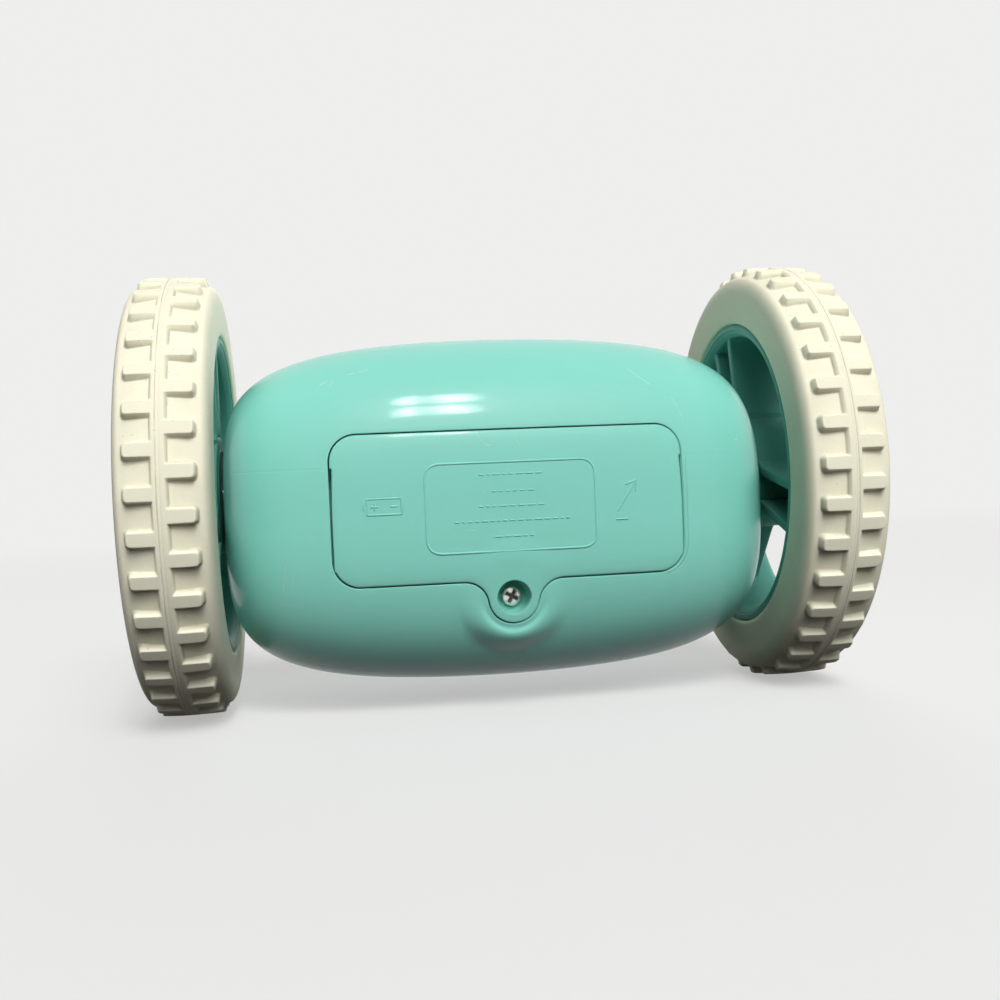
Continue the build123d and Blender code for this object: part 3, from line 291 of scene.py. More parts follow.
def revolved(profile: Array, angle: Array) -> Array:
    """A profile of (along the axle, radius) turned round the axle line.

    Args:
        profile: array of shape (points, 2).
        angle: the turn of each column, in radians.

    Returns:
        Grid of (along, radius, angle) of shape (points, columns, 3).
    """
    return np.stack(np.broadcast_arrays(profile[:, :1], profile[:, 1:2], angle[None, :]), axis=-1)


# ---- Node trees ------------------------------------------------------------------------------
class Wire:
    """A node's output. Sums, products and the like of wires and numbers are Math nodes."""

    def __init__(self, tree: "Tree", socket: Socket) -> None:
        """Holds an output socket and its tree."""
        self.tree = tree
        self.socket = socket

    def maths(self, operation: str, *others: object) -> "Wire":
        """A Math node on this wire and others."""
        return self.tree.add("Math", dict(enumerate((self, *others))), operation=operation)[0]

    def vector(self, operation: str, *others: object, pick: str = "Vector") -> "Wire":
        """A Vector Math node on this wire and others."""
        return self.tree.add("VectorMath", dict(enumerate((self, *others))), operation=operation)[pick]

    def __add__(self, other: object) -> "Wire":
        """The sum."""
        return self.maths("ADD", other)

    def __sub__(self, other: object) -> "Wire":
        """This less the other."""
        return self.maths("SUBTRACT", other)

    def __rsub__(self, other: float) -> "Wire":
        """A number less this."""
        return self.tree.add("Math", {0: other, 1: self}, operation="SUBTRACT")[0]

    def __mul__(self, other: object) -> "Wire":
        """The product."""
        return self.maths("MULTIPLY", other)

    def __truediv__(self, other: object) -> "Wire":
        """This over the other."""
        return self.maths("DIVIDE", other)

    def bell(self, middle: float, width: float) -> "Wire":
        """e^-((value - middle) / width)^2."""
        off = (self - middle) / width
        return (off * off * -1.0).maths("EXPONENT")

    def spread(self, start: float, end: float, low: float = 0.0, high: float = 1.0,
               **settings: object) -> "Wire":
        """A Map Range node, which turns start to end into low to high and holds it there."""
        return self.tree.add("MapRange", {0: self, 1: start, 2: end, 3: low, 4: high}, **settings)[0]


class Step:
    """A placed node, whose outputs are taken by name or number."""

    def __init__(self, tree: "Tree", node: Node) -> None:
        """Holds a node and its tree."""
        self.tree = tree
        self.node = node

    def __getitem__(self, key: int | str) -> Wire:
        """One output."""
        return Wire(self.tree, self.node.outputs[key])


class Tree:
    """Fills a shader tree or node group node by node."""

    def __init__(self, tree: NodeTree) -> None:
        """Takes a tree to fill."""
        self.tree = tree

    def feed(self, socket: Socket, value: object) -> None:
        """Links an input socket to a wire, or sets it to a value.

        Args:
            socket: the input.
            value: a wire, or a value that suits the socket.
        """
        if isinstance(value, Wire):
            self.tree.links.new(value.socket, socket)
        else:
            socket.default_value = value

    def add(self, kind: str, sockets: Optional[dict] = None, **settings: object) -> Step:
        """Adds a node.

        Args:
            kind: the node type without "ShaderNode".
            sockets: input name or number to a value or wire.
            settings: the node's own properties.

        Returns:
            The placed node.
        """
        node = self.tree.nodes.new("ShaderNode" + kind)
        for name, value in settings.items():
            setattr(node, name, value)
        for key, value in (sockets or {}).items():
            self.feed(node.inputs[key], value)
        return Step(self, node)

    def effect(self, group: Callable[[], NodeTree], **sockets: object) -> Step:
        """Places a shared effect, with its inputs' names in small letters."""
        return self.add("Group", {key.capitalize(): value for key, value in sockets.items()},
                        node_tree=group())

    def mix(self, factor: object, first: object, second: object, blend: str = "MIX") -> Wire:
        """A colour Mix node."""
        return self.add("Mix", {0: factor, 6: first, 7: second}, data_type="RGBA", blend_type=blend)[2]

    def between(self, factor: Wire, first: object, second: object) -> Wire:
        """A Mix node on two numbers."""
        return self.add("Mix", {0: factor, 2: first, 3: second}, data_type="FLOAT")[0]

    def coordinates(self, kind: str = "Object") -> Wire:
        """The piece's own coordinates, in metres."""
        return self.add("TexCoord")[kind]

    def noise(self, place: Wire, scale: object, detail: float = 2.0, roughness: float = 0.55) -> Wire:
        """A Noise Texture's value."""
        return self.add("TexNoise", {"Vector": place, "Scale": scale, "Detail": detail,
                                     "Roughness": roughness})[0]


class EffectTree(Tree):
    """A node group with named inputs, which is filled and then closed."""

    def __init__(self, name: str, **inputs: object) -> None:
        """Starts the group.

        Args:
            name: its name.
            inputs: name to default value: a number, a vector of 3 or a colour of 4.
        """
        super().__init__(bpy.data.node_groups.new(name, "ShaderNodeTree"))
        for label, value in inputs.items():
            kind = {3: "Vector", 4: "Color"}[len(value)] if isinstance(value, tuple) else "Float"
            self.socket(label, "INPUT", kind).default_value = value
        self.entry = Step(self, self.tree.nodes.new("NodeGroupInput"))
        self.place = self.coordinates()

    def socket(self, label: str, way: str, kind: str) -> bpy.types.NodeTreeInterfaceSocket:
        """Makes one of the group's own sockets."""
        return self.tree.interface.new_socket(label, in_out=way, socket_type="NodeSocket" + kind)

    def close(self, **outputs: Wire) -> NodeTree:
        """Gives the group its outputs: one named Color is a colour, any other a number.

        Args:
            outputs: name to wire.

        Returns:
            The group.
        """
        for label in outputs:
            self.socket(label, "OUTPUT", "Color" if label == "Color" else "Float")
        leave = self.tree.nodes.new("NodeGroupOutput")
        for label, wire in outputs.items():
            self.feed(leave.inputs[label], wire)
        return self.tree

    def chosen_cells(self, place: Wire) -> Wire:
        """1 in the nearest parts, up to Size, of a Share of the cells of a Voronoi texture.

        Args:
            place: the coordinates that the cells lie on.

        Returns:
            The mask.
        """
        cells = self.add("TexVoronoi", {"Vector": place, "Scale": self.entry["Scale"]})
        near = cells["Distance"].maths("LESS_THAN", self.entry["Size"])
        pick = self.add("SeparateColor", {0: cells["Color"]})[0]
        return near * pick.maths("LESS_THAN", self.entry["Share"])


class Effects:
    """Node groups that several finishes use, each built once."""

    @staticmethod
    @cache
    def tone() -> NodeTree:
        """Slow and fine changes of a colour's brightness, as in moulded plastic or rubber.

        Returns:
            The group.
        """
        tree = EffectTree("tone", Color=(0.5, 0.5, 0.5, 1.0), Scale=60.0, Amount=0.06)
        slow = tree.noise(tree.place, tree.entry["Scale"], 4.0, 0.5)
        quick = tree.noise(tree.place, tree.entry["Scale"] * 9.0, 5.0, 0.5)
        both = slow * 0.6 + quick * 0.4
        level = (both - 0.5) * tree.entry["Amount"] * 2.0 + 1.0
        grey = tree.add("CombineColor", {0: level, 1: level, 2: level})[0]
        return tree.close(Color=tree.mix(1.0, tree.entry["Color"], grey, "MULTIPLY"), Value=both)

    @staticmethod
    @cache
    def specks() -> NodeTree:
        """Scattered specks of dust or grit, in patches.

        Returns:
            The group.
        """
        tree = EffectTree("specks", Scale=900.0, Size=0.16, Share=0.3)
        patch = tree.noise(tree.place, 70.0, 3.0).spread(0.46, 0.6)
        return tree.close(Mask=tree.chosen_cells(tree.place) * patch)

    @staticmethod
    @cache
    def scuffs() -> NodeTree:
        """Short straight scuffs two ways: stretched cells, only in a few patches.

        Returns:
            The group.
        """
        tree = EffectTree("scuffs", Scale=500.0, Size=0.1, Share=0.1)
        one, other = [tree.chosen_cells(tree.add("Mapping", {
            "Vector": tree.place, "Rotation": turn, "Scale": (0.11, 1.0, 1.0)})[0])
            for turn in ((0.0, 0.35, 0.0), (0.0, -0.8, 0.3))]
        patch = tree.noise(tree.place, 60.0).spread(0.5, 0.62)
        return tree.close(Mask=one.maths("MAXIMUM", other) * patch)

    @staticmethod
    @cache
    def stroke() -> NodeTree:
        """One scratch: a mask along a straight line between two (x, z) places in millimetres.

        With h = dot(p - a, b - a) / |b - a|^2 held within 0 and 1, the distance is |p - a - (b - a) h|.

        Returns:
            The group.
        """
        tree = EffectTree("stroke", Start=(0.0, 0.0, 0.0), End=(1.0, 0.0, 0.0), Width=0.11)
        parts = tree.add("SeparateXYZ", {0: tree.place})
        flat = tree.add("CombineXYZ", {0: parts[0], 1: parts[2]})[0]
        reach = flat.vector("MULTIPLY", (1 / MM, 1 / MM, 0.0)).vector("SUBTRACT", tree.entry["Start"])
        whole = tree.entry["End"].vector("SUBTRACT", tree.entry["Start"])
        along = reach.vector("DOT_PRODUCT", whole, pick="Value")
        square = whole.vector("DOT_PRODUCT", whole, pick="Value")
        share = tree.add("Clamp", {0: along / square})[0]
        foot = tree.add("VectorMath", {0: whole, "Scale": share}, operation="SCALE")[0]
        away = reach.vector("SUBTRACT", foot).vector("LENGTH", pick="Value")
        return tree.close(Mask=tree.add("Clamp", {0: 1.0 - away / tree.entry["Width"]})[0])


def colour(red: float, green: float, blue: float) -> tuple[float, float, float, float]:
    """A screen colour, 0 to 255, as the linear colour that a shader takes.

    Args:
        red: level of red.
        green: level of green.
        blue: level of blue.

    Returns:
        Red, green, blue and alpha.
    """
    level = np.array([red, green, blue]) / 255
    linear = np.where(level <= 0.04045, level / 12.92, ((level + 0.055) / 1.055) ** 2.4)
    return (*linear.tolist(), 1.0)


def grey(level: float) -> tuple[float, float, float, float]:
    """A linear grey."""
    return (level, level, level, 1.0)


class Surface(Tree):
    """A new material's tree, with what every finish starts from: its shader, place and tone."""

    def __init__(self, finish: "Finish") -> None:
        """Makes the material.

        Args:
            finish: the finish that it shows.
        """
        self.finish = finish
        self.made = bpy.data.materials.new(finish.name)
        self.made.use_nodes = True
        super().__init__(self.made.node_tree)
        self.shader = self.tree.nodes["Principled BSDF"]
        self.set({"Metallic": finish.metallic})
        self.tone = self.effect(Effects.tone, color=colour(*finish.rgb), scale=finish.tone_scale,
                                amount=finish.tone)
        self.place = self.coordinates()

    def set(self, sockets: dict[str, object]) -> None:
        """Sets or links the shader's own sockets."""
        for name, value in sockets.items():
            self.feed(self.shader.inputs[name], value)

    def cover(self, shade: Wire, wear: Wire, height: Wire, swing: float = 0.12,
              depth: Optional[float] = None) -> Wire:
        """Links colour, roughness and bump.

        Args:
            shade: the colour.
            wear: a value from 0 to 1 that moves the roughness round the finish's own.
            height: the bump's height.
            swing: how far wear moves the roughness.
            depth: height 1 in millimetres; the finish's grain where none is given.

        Returns:
            The bumped normal.
        """
        reach = self.finish.grain if depth is None else depth
        bump = self.add("Bump", {"Height": height, "Distance": reach * MM, "Strength": 1.0})
        if self.finish.edge_round:
            rounded = self.add("Bevel", {"Radius": self.finish.edge_round * MM}, samples=6)
            self.feed(bump.node.inputs["Normal"], rounded[0])
        self.set({"Base Color": shade, "Roughness": (wear - 0.5) * swing + self.finish.roughness,
                  "Normal": bump[0]})
        return bump[0]

    def edge(self) -> Wire:
        """The stored distance from an edge, in millimetres."""
        return self.add("Attribute", attribute_name=LIP)["Fac"]

    def bricks(self, face: float, joint: float, scale: float, width: float, **settings: object) -> Step:
        """A brick pattern across X and Z.

        Args:
            face: grey of the bricks.
            joint: grey of their joints.
            scale: bricks per metre, about.
            width: the joints' width.
            settings: the node's own properties.

        Returns:
            The placed texture.
        """
        flat = self.add("Mapping", {"Vector": self.place, "Rotation": (np.pi / 2, 0, 0)})[0]
        return self.add("TexBrick", {"Vector": flat, "Color1": grey(face), "Color2": grey(face),
                                     "Mortar": grey(joint), "Scale": scale, "Mortar Size": width}, **settings)


# ---- Finishes --------------------------------------------------------------------------------
@dataclass(frozen=True)
class Finish:
    """A finish: what every material here has. Kinds of finish add their own nodes."""

    name: str
    rgb: Triple
    roughness: float = 0.4
    metallic: float = 0.0
    tone: float = 0.05
    tone_scale: float = 55.0
    grain: float = 0.05
    grain_scale: float = 2600.0
    edge_round: float = 0.0

    def material(self) -> bpy.types.Material:
        """The finish's material, made when it is first asked for.

        Returns:
            The material.
        """
        known = bpy.data.materials.get(self.name)
        if known is None:
            on = Surface(self)
            self.dress(on)
            known = on.made
        return known

    def dress(self, on: Surface) -> None:
        """Tone, roughness that follows it, and a fine grain as bump."""
        on.cover(on.tone["Color"], on.tone["Value"], on.noise(on.place, self.grain_scale))


@dataclass(frozen=True)
class MouldedFinish(Finish):
    """Glossy moulded plastic with faint flow marks, hairline scratches and a little dust."""

    dust: Triple = (222, 232, 226)
    dust_amount: float = 0.2
    scratches: float = 0.4
    coat: float = 0.0
    specular: float = 0.14

    def dress(self, on: Surface) -> None:
        """Adds dust and scratches over the tone, which also dull the gloss.

        Args:
            on: the material's tree.
        """
        dust = on.effect(Effects.specks, scale=1900.0, size=0.18, share=0.1)["Mask"]
        lines = on.effect(Effects.scuffs, scale=700.0, size=0.09, share=0.06)["Mask"]
        marks = (dust * self.dust_amount).maths("MAXIMUM", lines * self.scratches)
        shade = on.mix(marks, on.tone["Color"], colour(*self.dust))
        peel = on.noise(on.place, 900.0) * (self.grain * 0.6)
        fine = on.noise(on.place, self.grain_scale) * (self.grain * 0.4)
        shade, height = self.marked(on, shade, peel + fine)
        normal = on.cover(shade, on.tone["Value"] + marks, height, 0.2, 1.0)
        on.set({"IOR": 1.5, "Specular IOR Level": self.specular, "Coat Weight": self.coat,
                "Coat Roughness": 0.08, "Coat IOR": 1.42, "Coat Normal": normal})

    def marked(self, on: Surface, shade: Wire, height: Wire) -> tuple[Wire, Wire]:
        """Colour, and height in millimetres, with the finish's own marks; here none."""
        return shade, height


@dataclass(frozen=True)
class LippedFinish(MouldedFinish):
    """Moulded skin that rolls over towards the door's gap, with a faint witness line of the mould."""

    droop: float = 0.2
    reach: float = 0.9
    witness_z: float = 48.5
    witness_x: float = 34.3
    witness_width: float = 0.13
    witness_depth: float = 0.02
    second_line: float = 0.0
    second_width: float = 0.1
    second_depth: float = 0.09
    strokes: tuple[tuple[float, float, float, float], ...] = ()
    stroke_depth: float = 0.05
    stroke_shade: Triple = (206, 234, 224)

    def marked(self, on: Surface, shade: Wire, height: Wire) -> tuple[Wire, Wire]:
        """Lowers the skin by droop * e^(-distance / reach) and by its lines and scored strokes.

        Args:
            on: the material's tree.
            shade: the colour so far.
            height: the height so far, in millimetres.

        Returns:
            The colour, paler along the strokes, and the height.
        """
        away = on.edge()
        lip = (away.maths("MAXIMUM", 0.0) / -self.reach).maths("EXPONENT") * -self.droop
        parts = on.add("SeparateXYZ", {0: on.place})
        beyond = parts[0].maths("ABSOLUTE").maths("GREATER_THAN", self.witness_x * MM)
        witness = parts[2].bell(self.witness_z * MM, self.witness_width * MM) * beyond
        height = height + lip + witness * -self.witness_depth
        if self.second_line:
            height = height - self.groove(away, parts)
        for x, z, end_x, end_z in self.strokes:
            cut = on.effect(Effects.stroke, start=(x, z, 0.0), end=(end_x, end_z, 0.0))["Mask"]
            height = height - cut * self.stroke_depth
            shade = on.mix(cut * 0.45, shade, colour(*self.stroke_shade))
        return shade, height

    def groove(self, away: Wire, parts: Step) -> Wire:
        """A fine groove along one side of the door, a set way outside the gap.

        Args:
            away: distance from the door's gap.
            parts: the separated coordinates.

        Returns:
            Its depth, in millimetres.
        """
        side = parts[0].maths("LESS_THAN", -30.0 * MM)
        low = parts[2].spread(49.0 * MM, 47.5 * MM)
        return away.bell(self.second_line, self.second_width) * side * (low * self.second_depth)


@dataclass(frozen=True)
class TreadFinish(Finish):
    """Pale rubber that has rolled over floors: grime and painted shade at the feet of the lugs, clean worn
    tops.
    """

    dirt: Triple = (150, 143, 116)
    worn: Triple = (246, 244, 222)
    grit: Triple = (112, 104, 84)
    tread_from: float = 38.5
    tread_to: float = 40.5

    def dress(self, on: Surface) -> None:
        """Uses the stored distance from the lugs' walls: grime and painted shade just outside them, wear just
        inside.

        Args:
            on: the material's tree.
        """
        away = on.edge()
        parts = on.add("SeparateXYZ", {0: on.place})
        across = on.add("CombineXYZ", {1: parts[1], 2: parts[2] - AXLE_Z * MM})[0]
        tread = across.vector("LENGTH", pick="Value").spread(self.tread_from * MM, self.tread_to * MM)
        patches = on.noise(on.place, 110.0, 6.0, 0.65).spread(0.36, 0.7, 0.15, 1.0)
        # Painted shade with grime: in patches the ground between the lugs is darkened a little and the feet of
        # their walls much more.
        low = away.maths("GREATER_THAN", 0.1) * 0.09
        grime = (away.bell(0.2, 0.2) * 0.62).maths("MAXIMUM", low) * patches
        dirty_and_shaded = on.mix(grime * tread, on.tone["Color"], colour(*self.dirt))
        clean = on.mix(away.bell(-0.16, 0.16) * 0.5 * tread, dirty_and_shaded, colour(*self.worn))
        specks = on.effect(Effects.specks, scale=1300.0, size=0.16, share=0.16)["Mask"]
        shade = on.mix(specks * 0.45, clean, colour(*self.grit))
        height = on.noise(on.place, 1700.0, 4.0, 0.7) * 0.5 + on.noise(on.place, 330.0, 3.0) * 0.5
        on.cover(shade, on.tone["Value"], height, 0.2)
        on.set({"Specular IOR Level": 0.18})


@dataclass(frozen=True)
class MetalFinish(Finish):
    """Plated or rolled metal with fine drawn lines along one axis."""

    metallic: float = 1.0
    lines: Triple = (1.0, 1.0, 0.06)
    # How strongly painted shade darkens what lies below an edge; 0 for none.
    grime: float = 0.0
    grime_shade: Triple = (24, 22, 22)

    def dress(self, on: Surface) -> None:
        """Stretched noise moves the roughness and gives the bump; painted shade, near black and not metal,
        fills what lies below an edge.

        Args:
            on: the material's tree.
        """
        shade = on.tone["Color"]
        # Painted shade: the recess below the stored edge, such as a screw's cross, becomes a near-black
        # non-metal.
        if self.grime:
            ragged = on.edge() + on.noise(on.place, 2600.0, 3.0) * 0.16
            low = ragged.spread(0.06, 0.14, self.grime, 0.0)
            shade = on.mix(low, shade, colour(*self.grime_shade))
            on.set({"Metallic": 1.0 - low})
        drawn = on.add("Mapping", {"Vector": on.place, "Scale": self.lines})[0]
        streaks = on.noise(drawn, self.grain_scale, 3.0)
        on.cover(shade, streaks, streaks, 0.3)


@dataclass(frozen=True)
class BoardFinish(Finish):
    """Circuit board: solder mask over copper tracks, with rows of pads."""

    copper: Triple = (46, 132, 84)
    pad: Triple = (196, 190, 170)

    def dress(self, on: Surface) -> None:
        """Tracks are the joints of a brick pattern, and pads are small cells of a Voronoi texture.

        Args:
            on: the material's tree.
        """
        bricks = on.bricks(0.0, 1.0, 260.0, 0.06)
        cells = on.add("TexVoronoi", {"Vector": on.place, "Scale": 330.0})
        dots = cells["Distance"].maths("LESS_THAN", 0.22)
        tracked = on.mix(bricks["Color"], on.tone["Color"], colour(*self.copper))
        on.cover(on.mix(dots, tracked, colour(*self.pad)), on.tone["Value"], bricks[1] + dots)


@dataclass(frozen=True)
class SleeveFinish(Finish):
    """Battery sleeve with a metallic band towards the end that the cell points to."""

    way: int = 1
    band: Triple = (186, 142, 78)
    bare: Triple = (205, 205, 205)
    band_x: float = 9.0
    bare_x: float = 23.3

    def dress(self, on: Surface) -> None:
        """The band covers what lies past a place along X, and the ends are bare metal.

        Args:
            on: the material's tree.
        """
        along = on.add("SeparateXYZ", {0: on.place})[0]
        past = (along * float(self.way)).maths("GREATER_THAN", self.band_x * MM)
        bare = along.maths("ABSOLUTE").maths("GREATER_THAN", self.bare_x * MM)
        sleeve = on.mix(past, on.tone["Color"], colour(*self.band))
        on.set({"Metallic": past.maths("MAXIMUM", bare)})
        on.cover(on.mix(bare, sleeve, colour(*self.bare)), on.tone["Value"],
                 on.noise(on.place, self.grain_scale))


@dataclass(frozen=True)
class ClearFinish(Finish):
    """Clear moulded window."""

    def dress(self, on: Surface) -> None:
        """Clear, with a roughness that changes a little and a faint waviness."""
        super().dress(on)
        on.set({"Transmission Weight": 1.0, "IOR": 1.49})


@dataclass(frozen=True)
class DisplayFinish(Finish):
    """Grey-green display glass with a fine grid of cells under it."""

    def dress(self, on: Surface) -> None:
        """A fine brick pattern darkens the joints between cells.

        Args:
            on: the material's tree.
        """
        grid = on.bricks(1.0, 0.9, 900.0, 0.04, offset=0.0)
        shade = on.mix(1.0, on.tone["Color"], grid["Color"], "MULTIPLY")
        on.cover(shade, on.tone["Value"], grid[1])


TEAL_RGB = (128, 204, 189)
CELL_RGB = (34, 36, 42)
GLOSSY = {"roughness": 0.36, "tone": 0.03, "grain": 0.012, "coat": 0.5}
DOOR_SCORES = ((5.9, 54.6, 5.2, 52.9), (5.2, 52.9, 4.0, 51.8), (4.0, 51.8, 3.3, 51.9), (-1.2, 53.4, -2.3, 51.6))
BACK_SCORES = (
    (34.9, 64.6, 33.6, 65.3), (33.0, 64.4, 32.2, 65.4), (29.4, 66.6, 28.2, 66.9), (27.3, 67.0, 25.6, 67.4),
    (42.6, 31.0, 43.3, 26.0), (41.2, 29.5, 41.6, 27.0), (-25.5, 66.0, -29.4, 62.6), (-33.4, 60.0, -35.2, 55.8))
TEAL = MouldedFinish("teal_moulded", TEAL_RGB, edge_round=0.25, **GLOSSY)
TEAL_DOOR = LippedFinish("teal_door", TEAL_RGB, edge_round=0.4, witness_x=99.0, strokes=DOOR_SCORES, **GLOSSY)
TEAL_BACK = LippedFinish("teal_back", TEAL_RGB, edge_round=0.25, droop=0.06, reach=0.5, second_line=0.62,
                         strokes=BACK_SCORES, **GLOSSY)
# Teal a little darker than the body's own, darkened further as painted shade so that the shadowed insides of
# the rims come out dark.
TEAL_WHEEL_SHADED = MouldedFinish("teal_wheel", (95, 165, 152), roughness=0.55, grain=0.014, edge_round=0.3,
                           specular=0.2)
CREAM = MouldedFinish("cream_moulded", (236, 234, 216), roughness=0.34, tone=0.03, grain=0.012,
                      dust=(150, 146, 130))
TREAD = TreadFinish("worn_rubber", (233, 230, 208), roughness=0.75, tone=0.06, tone_scale=80.0, grain=0.045)
WHITE_PART = MouldedFinish("natural_moulding", (214, 213, 205), roughness=0.5, grain=0.02)
BLACK_PART = MouldedFinish("black_moulding", (30, 31, 33), roughness=0.45, grain=0.02, dust=(90, 92, 94))
NYLON = MouldedFinish("nylon_gear", (228, 222, 200), roughness=0.42, grain=0.02)
BRASS = MetalFinish("brass_pinion", (214, 176, 104), roughness=0.3, grain=0.01)
PLATED = MetalFinish("plated_steel", (206, 206, 208), roughness=0.24, grain=0.012, grain_scale=1800.0)
# The screw gets painted shade: its cross and the edge of its head come out near black.
SCREW = MetalFinish("nickel_screw", (226, 219, 214), roughness=0.16, tone=0.4, tone_scale=1500.0,
                    grain=0.16, grain_scale=1100.0, lines=(1.0, 1.0, 1.0), grime=0.95)
ROLLED = MetalFinish("rolled_steel", (126, 126, 130), roughness=0.5, grain=0.03, grain_scale=900.0,
                     lines=(0.05, 1.0, 1.0))
SPRING = MetalFinish("spring_wire", (196, 194, 188), roughness=0.3, grain=0.01)
MOTOR_CAN = MetalFinish("motor_shell", (178, 180, 182), roughness=0.34, grain=0.015, lines=(0.05, 1.0, 1.0))
BOARD = BoardFinish("green_board", (22, 92, 58), roughness=0.38, grain=0.03)
CLEAR = ClearFinish("clear_window", (246, 250, 249), roughness=0.03, tone=0.01, grain=0.004, grain_scale=300.0)
DISPLAY = DisplayFinish("display_glass", (176, 188, 164), roughness=0.22, grain=0.01)
SEGMENT = Finish("display_segment", (26, 30, 30), roughness=0.35, tone=0.04)
CELL_PLUS = SleeveFinish("cell_towards_right", CELL_RGB, roughness=0.28, way=1, grain=0.008)
CELL_MINUS = SleeveFinish("cell_towards_left", CELL_RGB, roughness=0.28, way=-1, grain=0.008)


# ---- Body form -------------------------------------------------------------------------------
@dataclass(frozen=True)
class BodyForm:
    """The pillow form: every section across X is a superellipse, and so is the outline along X."""

    half_length: float = 54.8
    half_height: float = 35.1
    half_depth: float = 30.0
    middle_z: float = 39.6
    height_crown: float = 4.5
    depth_crown: float = 1.5
    end_power: float = 5.0
    power: float = 2.7

    def half_sizes(self, x: Array, inset: float) -> tuple[Array, Array]:
        """Half depth and half height of the section at x, of the form drawn in by inset.

        With u = x / half length, each is (full size - inset - crown * u^2) * (1 - |u|^5)^(1/5).

        Args:
            x: places along X.
            inset: how far the form is drawn in.

        Returns:
            Half depths and half heights.
        """
        u = np.clip(np.abs(x) / (self.half_length - inset), 0, 0.99999)
        left = (1 - u ** self.end_power) ** (1 / self.end_power)
        return ((self.half_depth - inset - self.depth_crown * u ** 2) * left,
                (self.half_height - inset - self.height_crown * u ** 2) * left)

    def level(self, points: Array, inset: float) -> Array:
        """|y / depth|^p + |z / height|^p, which is 1 on the form.

        Args:
            points: array whose last axis is (x, y, z).
            inset: how far the form is drawn in.

        Returns:
            The level of each point.
        """
        depth, height = self.half_sizes(points[..., 0], inset)
        return (np.abs(points[..., 1] / depth) ** self.power
                + np.abs((points[..., 2] - self.middle_z) / height) ** self.power)

    def gradient(self, points: Array, inset: float, step: float = 0.01) -> Array:
        """Slope of the level by central differences, not yet made a unit vector.

        Args:
            points: array whose last axis is (x, y, z).
            inset: how far the form is drawn in.
            step: half of each difference.

        Returns:
            The slopes, in the shape of the points.
        """
        slopes = [(self.level(points + shift, inset) - self.level(points - shift, inset)) / (2 * step)
                  for shift in np.eye(3) * step]
        return np.stack(slopes, axis=-1)

    def surface_y(self, x: Array, z: Array) -> Array:
        """Y of the form's back at x and z: depth * (1 - |z / height|^p)^(1/p).

        Args:
            x: places along X.
            z: heights.

        Returns:
            The Y of each.
        """
        depth, height = self.half_sizes(x, 0.0)
        share = np.clip(np.abs((z - self.middle_z) / height), 0, 1)
        return depth * (1 - share ** self.power) ** (1 / self.power)


FORM = BodyForm()


@dataclass(frozen=True)
class DoorOutline:
    """The battery door's outline with its screw tab, drawn as X and Z."""

    half_width: float = 33.8
    top: float = 54.6
    bottom: float = 26.1
    corner: float = 5.0
    tab_z: float = 22.6
    tab_radius: float = 4.8
    tab_spread: float = 9.5

    def arc(self, centre: Pair, radius: float, start: float, end: float) -> Array:
        """Points of an arc, from one angle to another."""
        angle = np.linspace(start, end, 40)
        return np.stack([centre[0] + radius * np.cos(angle), centre[1] + radius * np.sin(angle)], axis=-1)

    def points(self) -> Array:
        """The outline as a closed row of points, clockwise from the top left corner.

        Returns:
            Array of shape (points, 2).
        """
        drop = self.bottom - self.tab_z
        tab, spread = self.tab_radius, self.tab_spread
        flare = (spread ** 2 + drop ** 2 - tab ** 2) / (2 * (tab + drop))
        lean = np.arctan2(drop - flare, spread)
        w, c = self.half_width, self.corner
        half = np.vstack([
            self.arc((w - c, self.top - c), c, np.pi / 2, 0.0),
            self.arc((w - c, self.bottom + c), c, 0.0, -np.pi / 2),
            self.arc((spread, self.bottom - flare), flare, np.pi / 2, np.pi + lean),
            self.arc((0.0, self.tab_z), tab, lean, -np.pi / 2)])
        return np.vstack([half, half[-2::-1] * np.array([-1.0, 1.0])])

    def away(self, flat: Array) -> Array:
        """Distance of each (x, z) from the outline, in blocks so that it stays small in memory.

        Args:
            flat: array of shape (points, 2).

        Returns:
            The distances.
        """
        line = resampled(self.points(), lambda whole: np.arange(0.0, whole, 0.08))
        blocks = [np.min(np.linalg.norm(part[:, None] - line[None], axis=-1), axis=1)
                  for part in np.array_split(flat, max(1, len(flat) // 400))]
        return np.concatenate(blocks)


@dataclass(frozen=True)
class ScrewPad:
    """Raised place round the screw tab, where the skin stays upright while the body curves away.

    The rise is (upright plane - form) inside the pad, and fades between two radii as 1 - s^2 (3 - 2 s).
    Just outside the door's gap the skin dips into a shallow moat, then comes back up.
    """

    middle_z: float = 22.6
    inner: float = 6.8
    outer: float = 11.5
    start_y: float = 28.62
    lean: float = 0.16
    gap_edge: float = 4.95
    moat_radius: float = 5.95
    moat_width: float = 0.6
    moat_depth: float = 0.26
    front_y: float = 20.0

    def rise(self, x: Array, z: Array) -> Array:
        """How far the skin stands out along +Y at x and z.

        Args:
            x: places along X.
            z: heights.

        Returns:
            The rise of each.
        """
        r = np.hypot(x, z - self.middle_z)
        gap = self.start_y + self.lean * (z - self.middle_z) - FORM.surface_y(x, z)
        fade = 1 - eased((r - self.inner) / (self.outer - self.inner))
        below = np.clip((self.middle_z + 1.0 - z) / 3.0, 0, 1)
        moat = self.moat_depth * np.exp(-((r - self.moat_radius) / self.moat_width) ** 2)
        return 0.5 * (gap + np.sqrt(gap * gap + 0.01)) * fade - np.where(r > self.gap_edge, moat, 0.0) * below

    def near(self, points: Array) -> Array:
        """Which points lie on the outer skin inside the pad."""
        close = np.hypot(points[..., 0], points[..., 2] - self.middle_z) < self.outer + 0.1
        return close & (points[..., 1] > FORM.surface_y(points[..., 0], points[..., 2]) - 0.5)


PAD = ScrewPad()


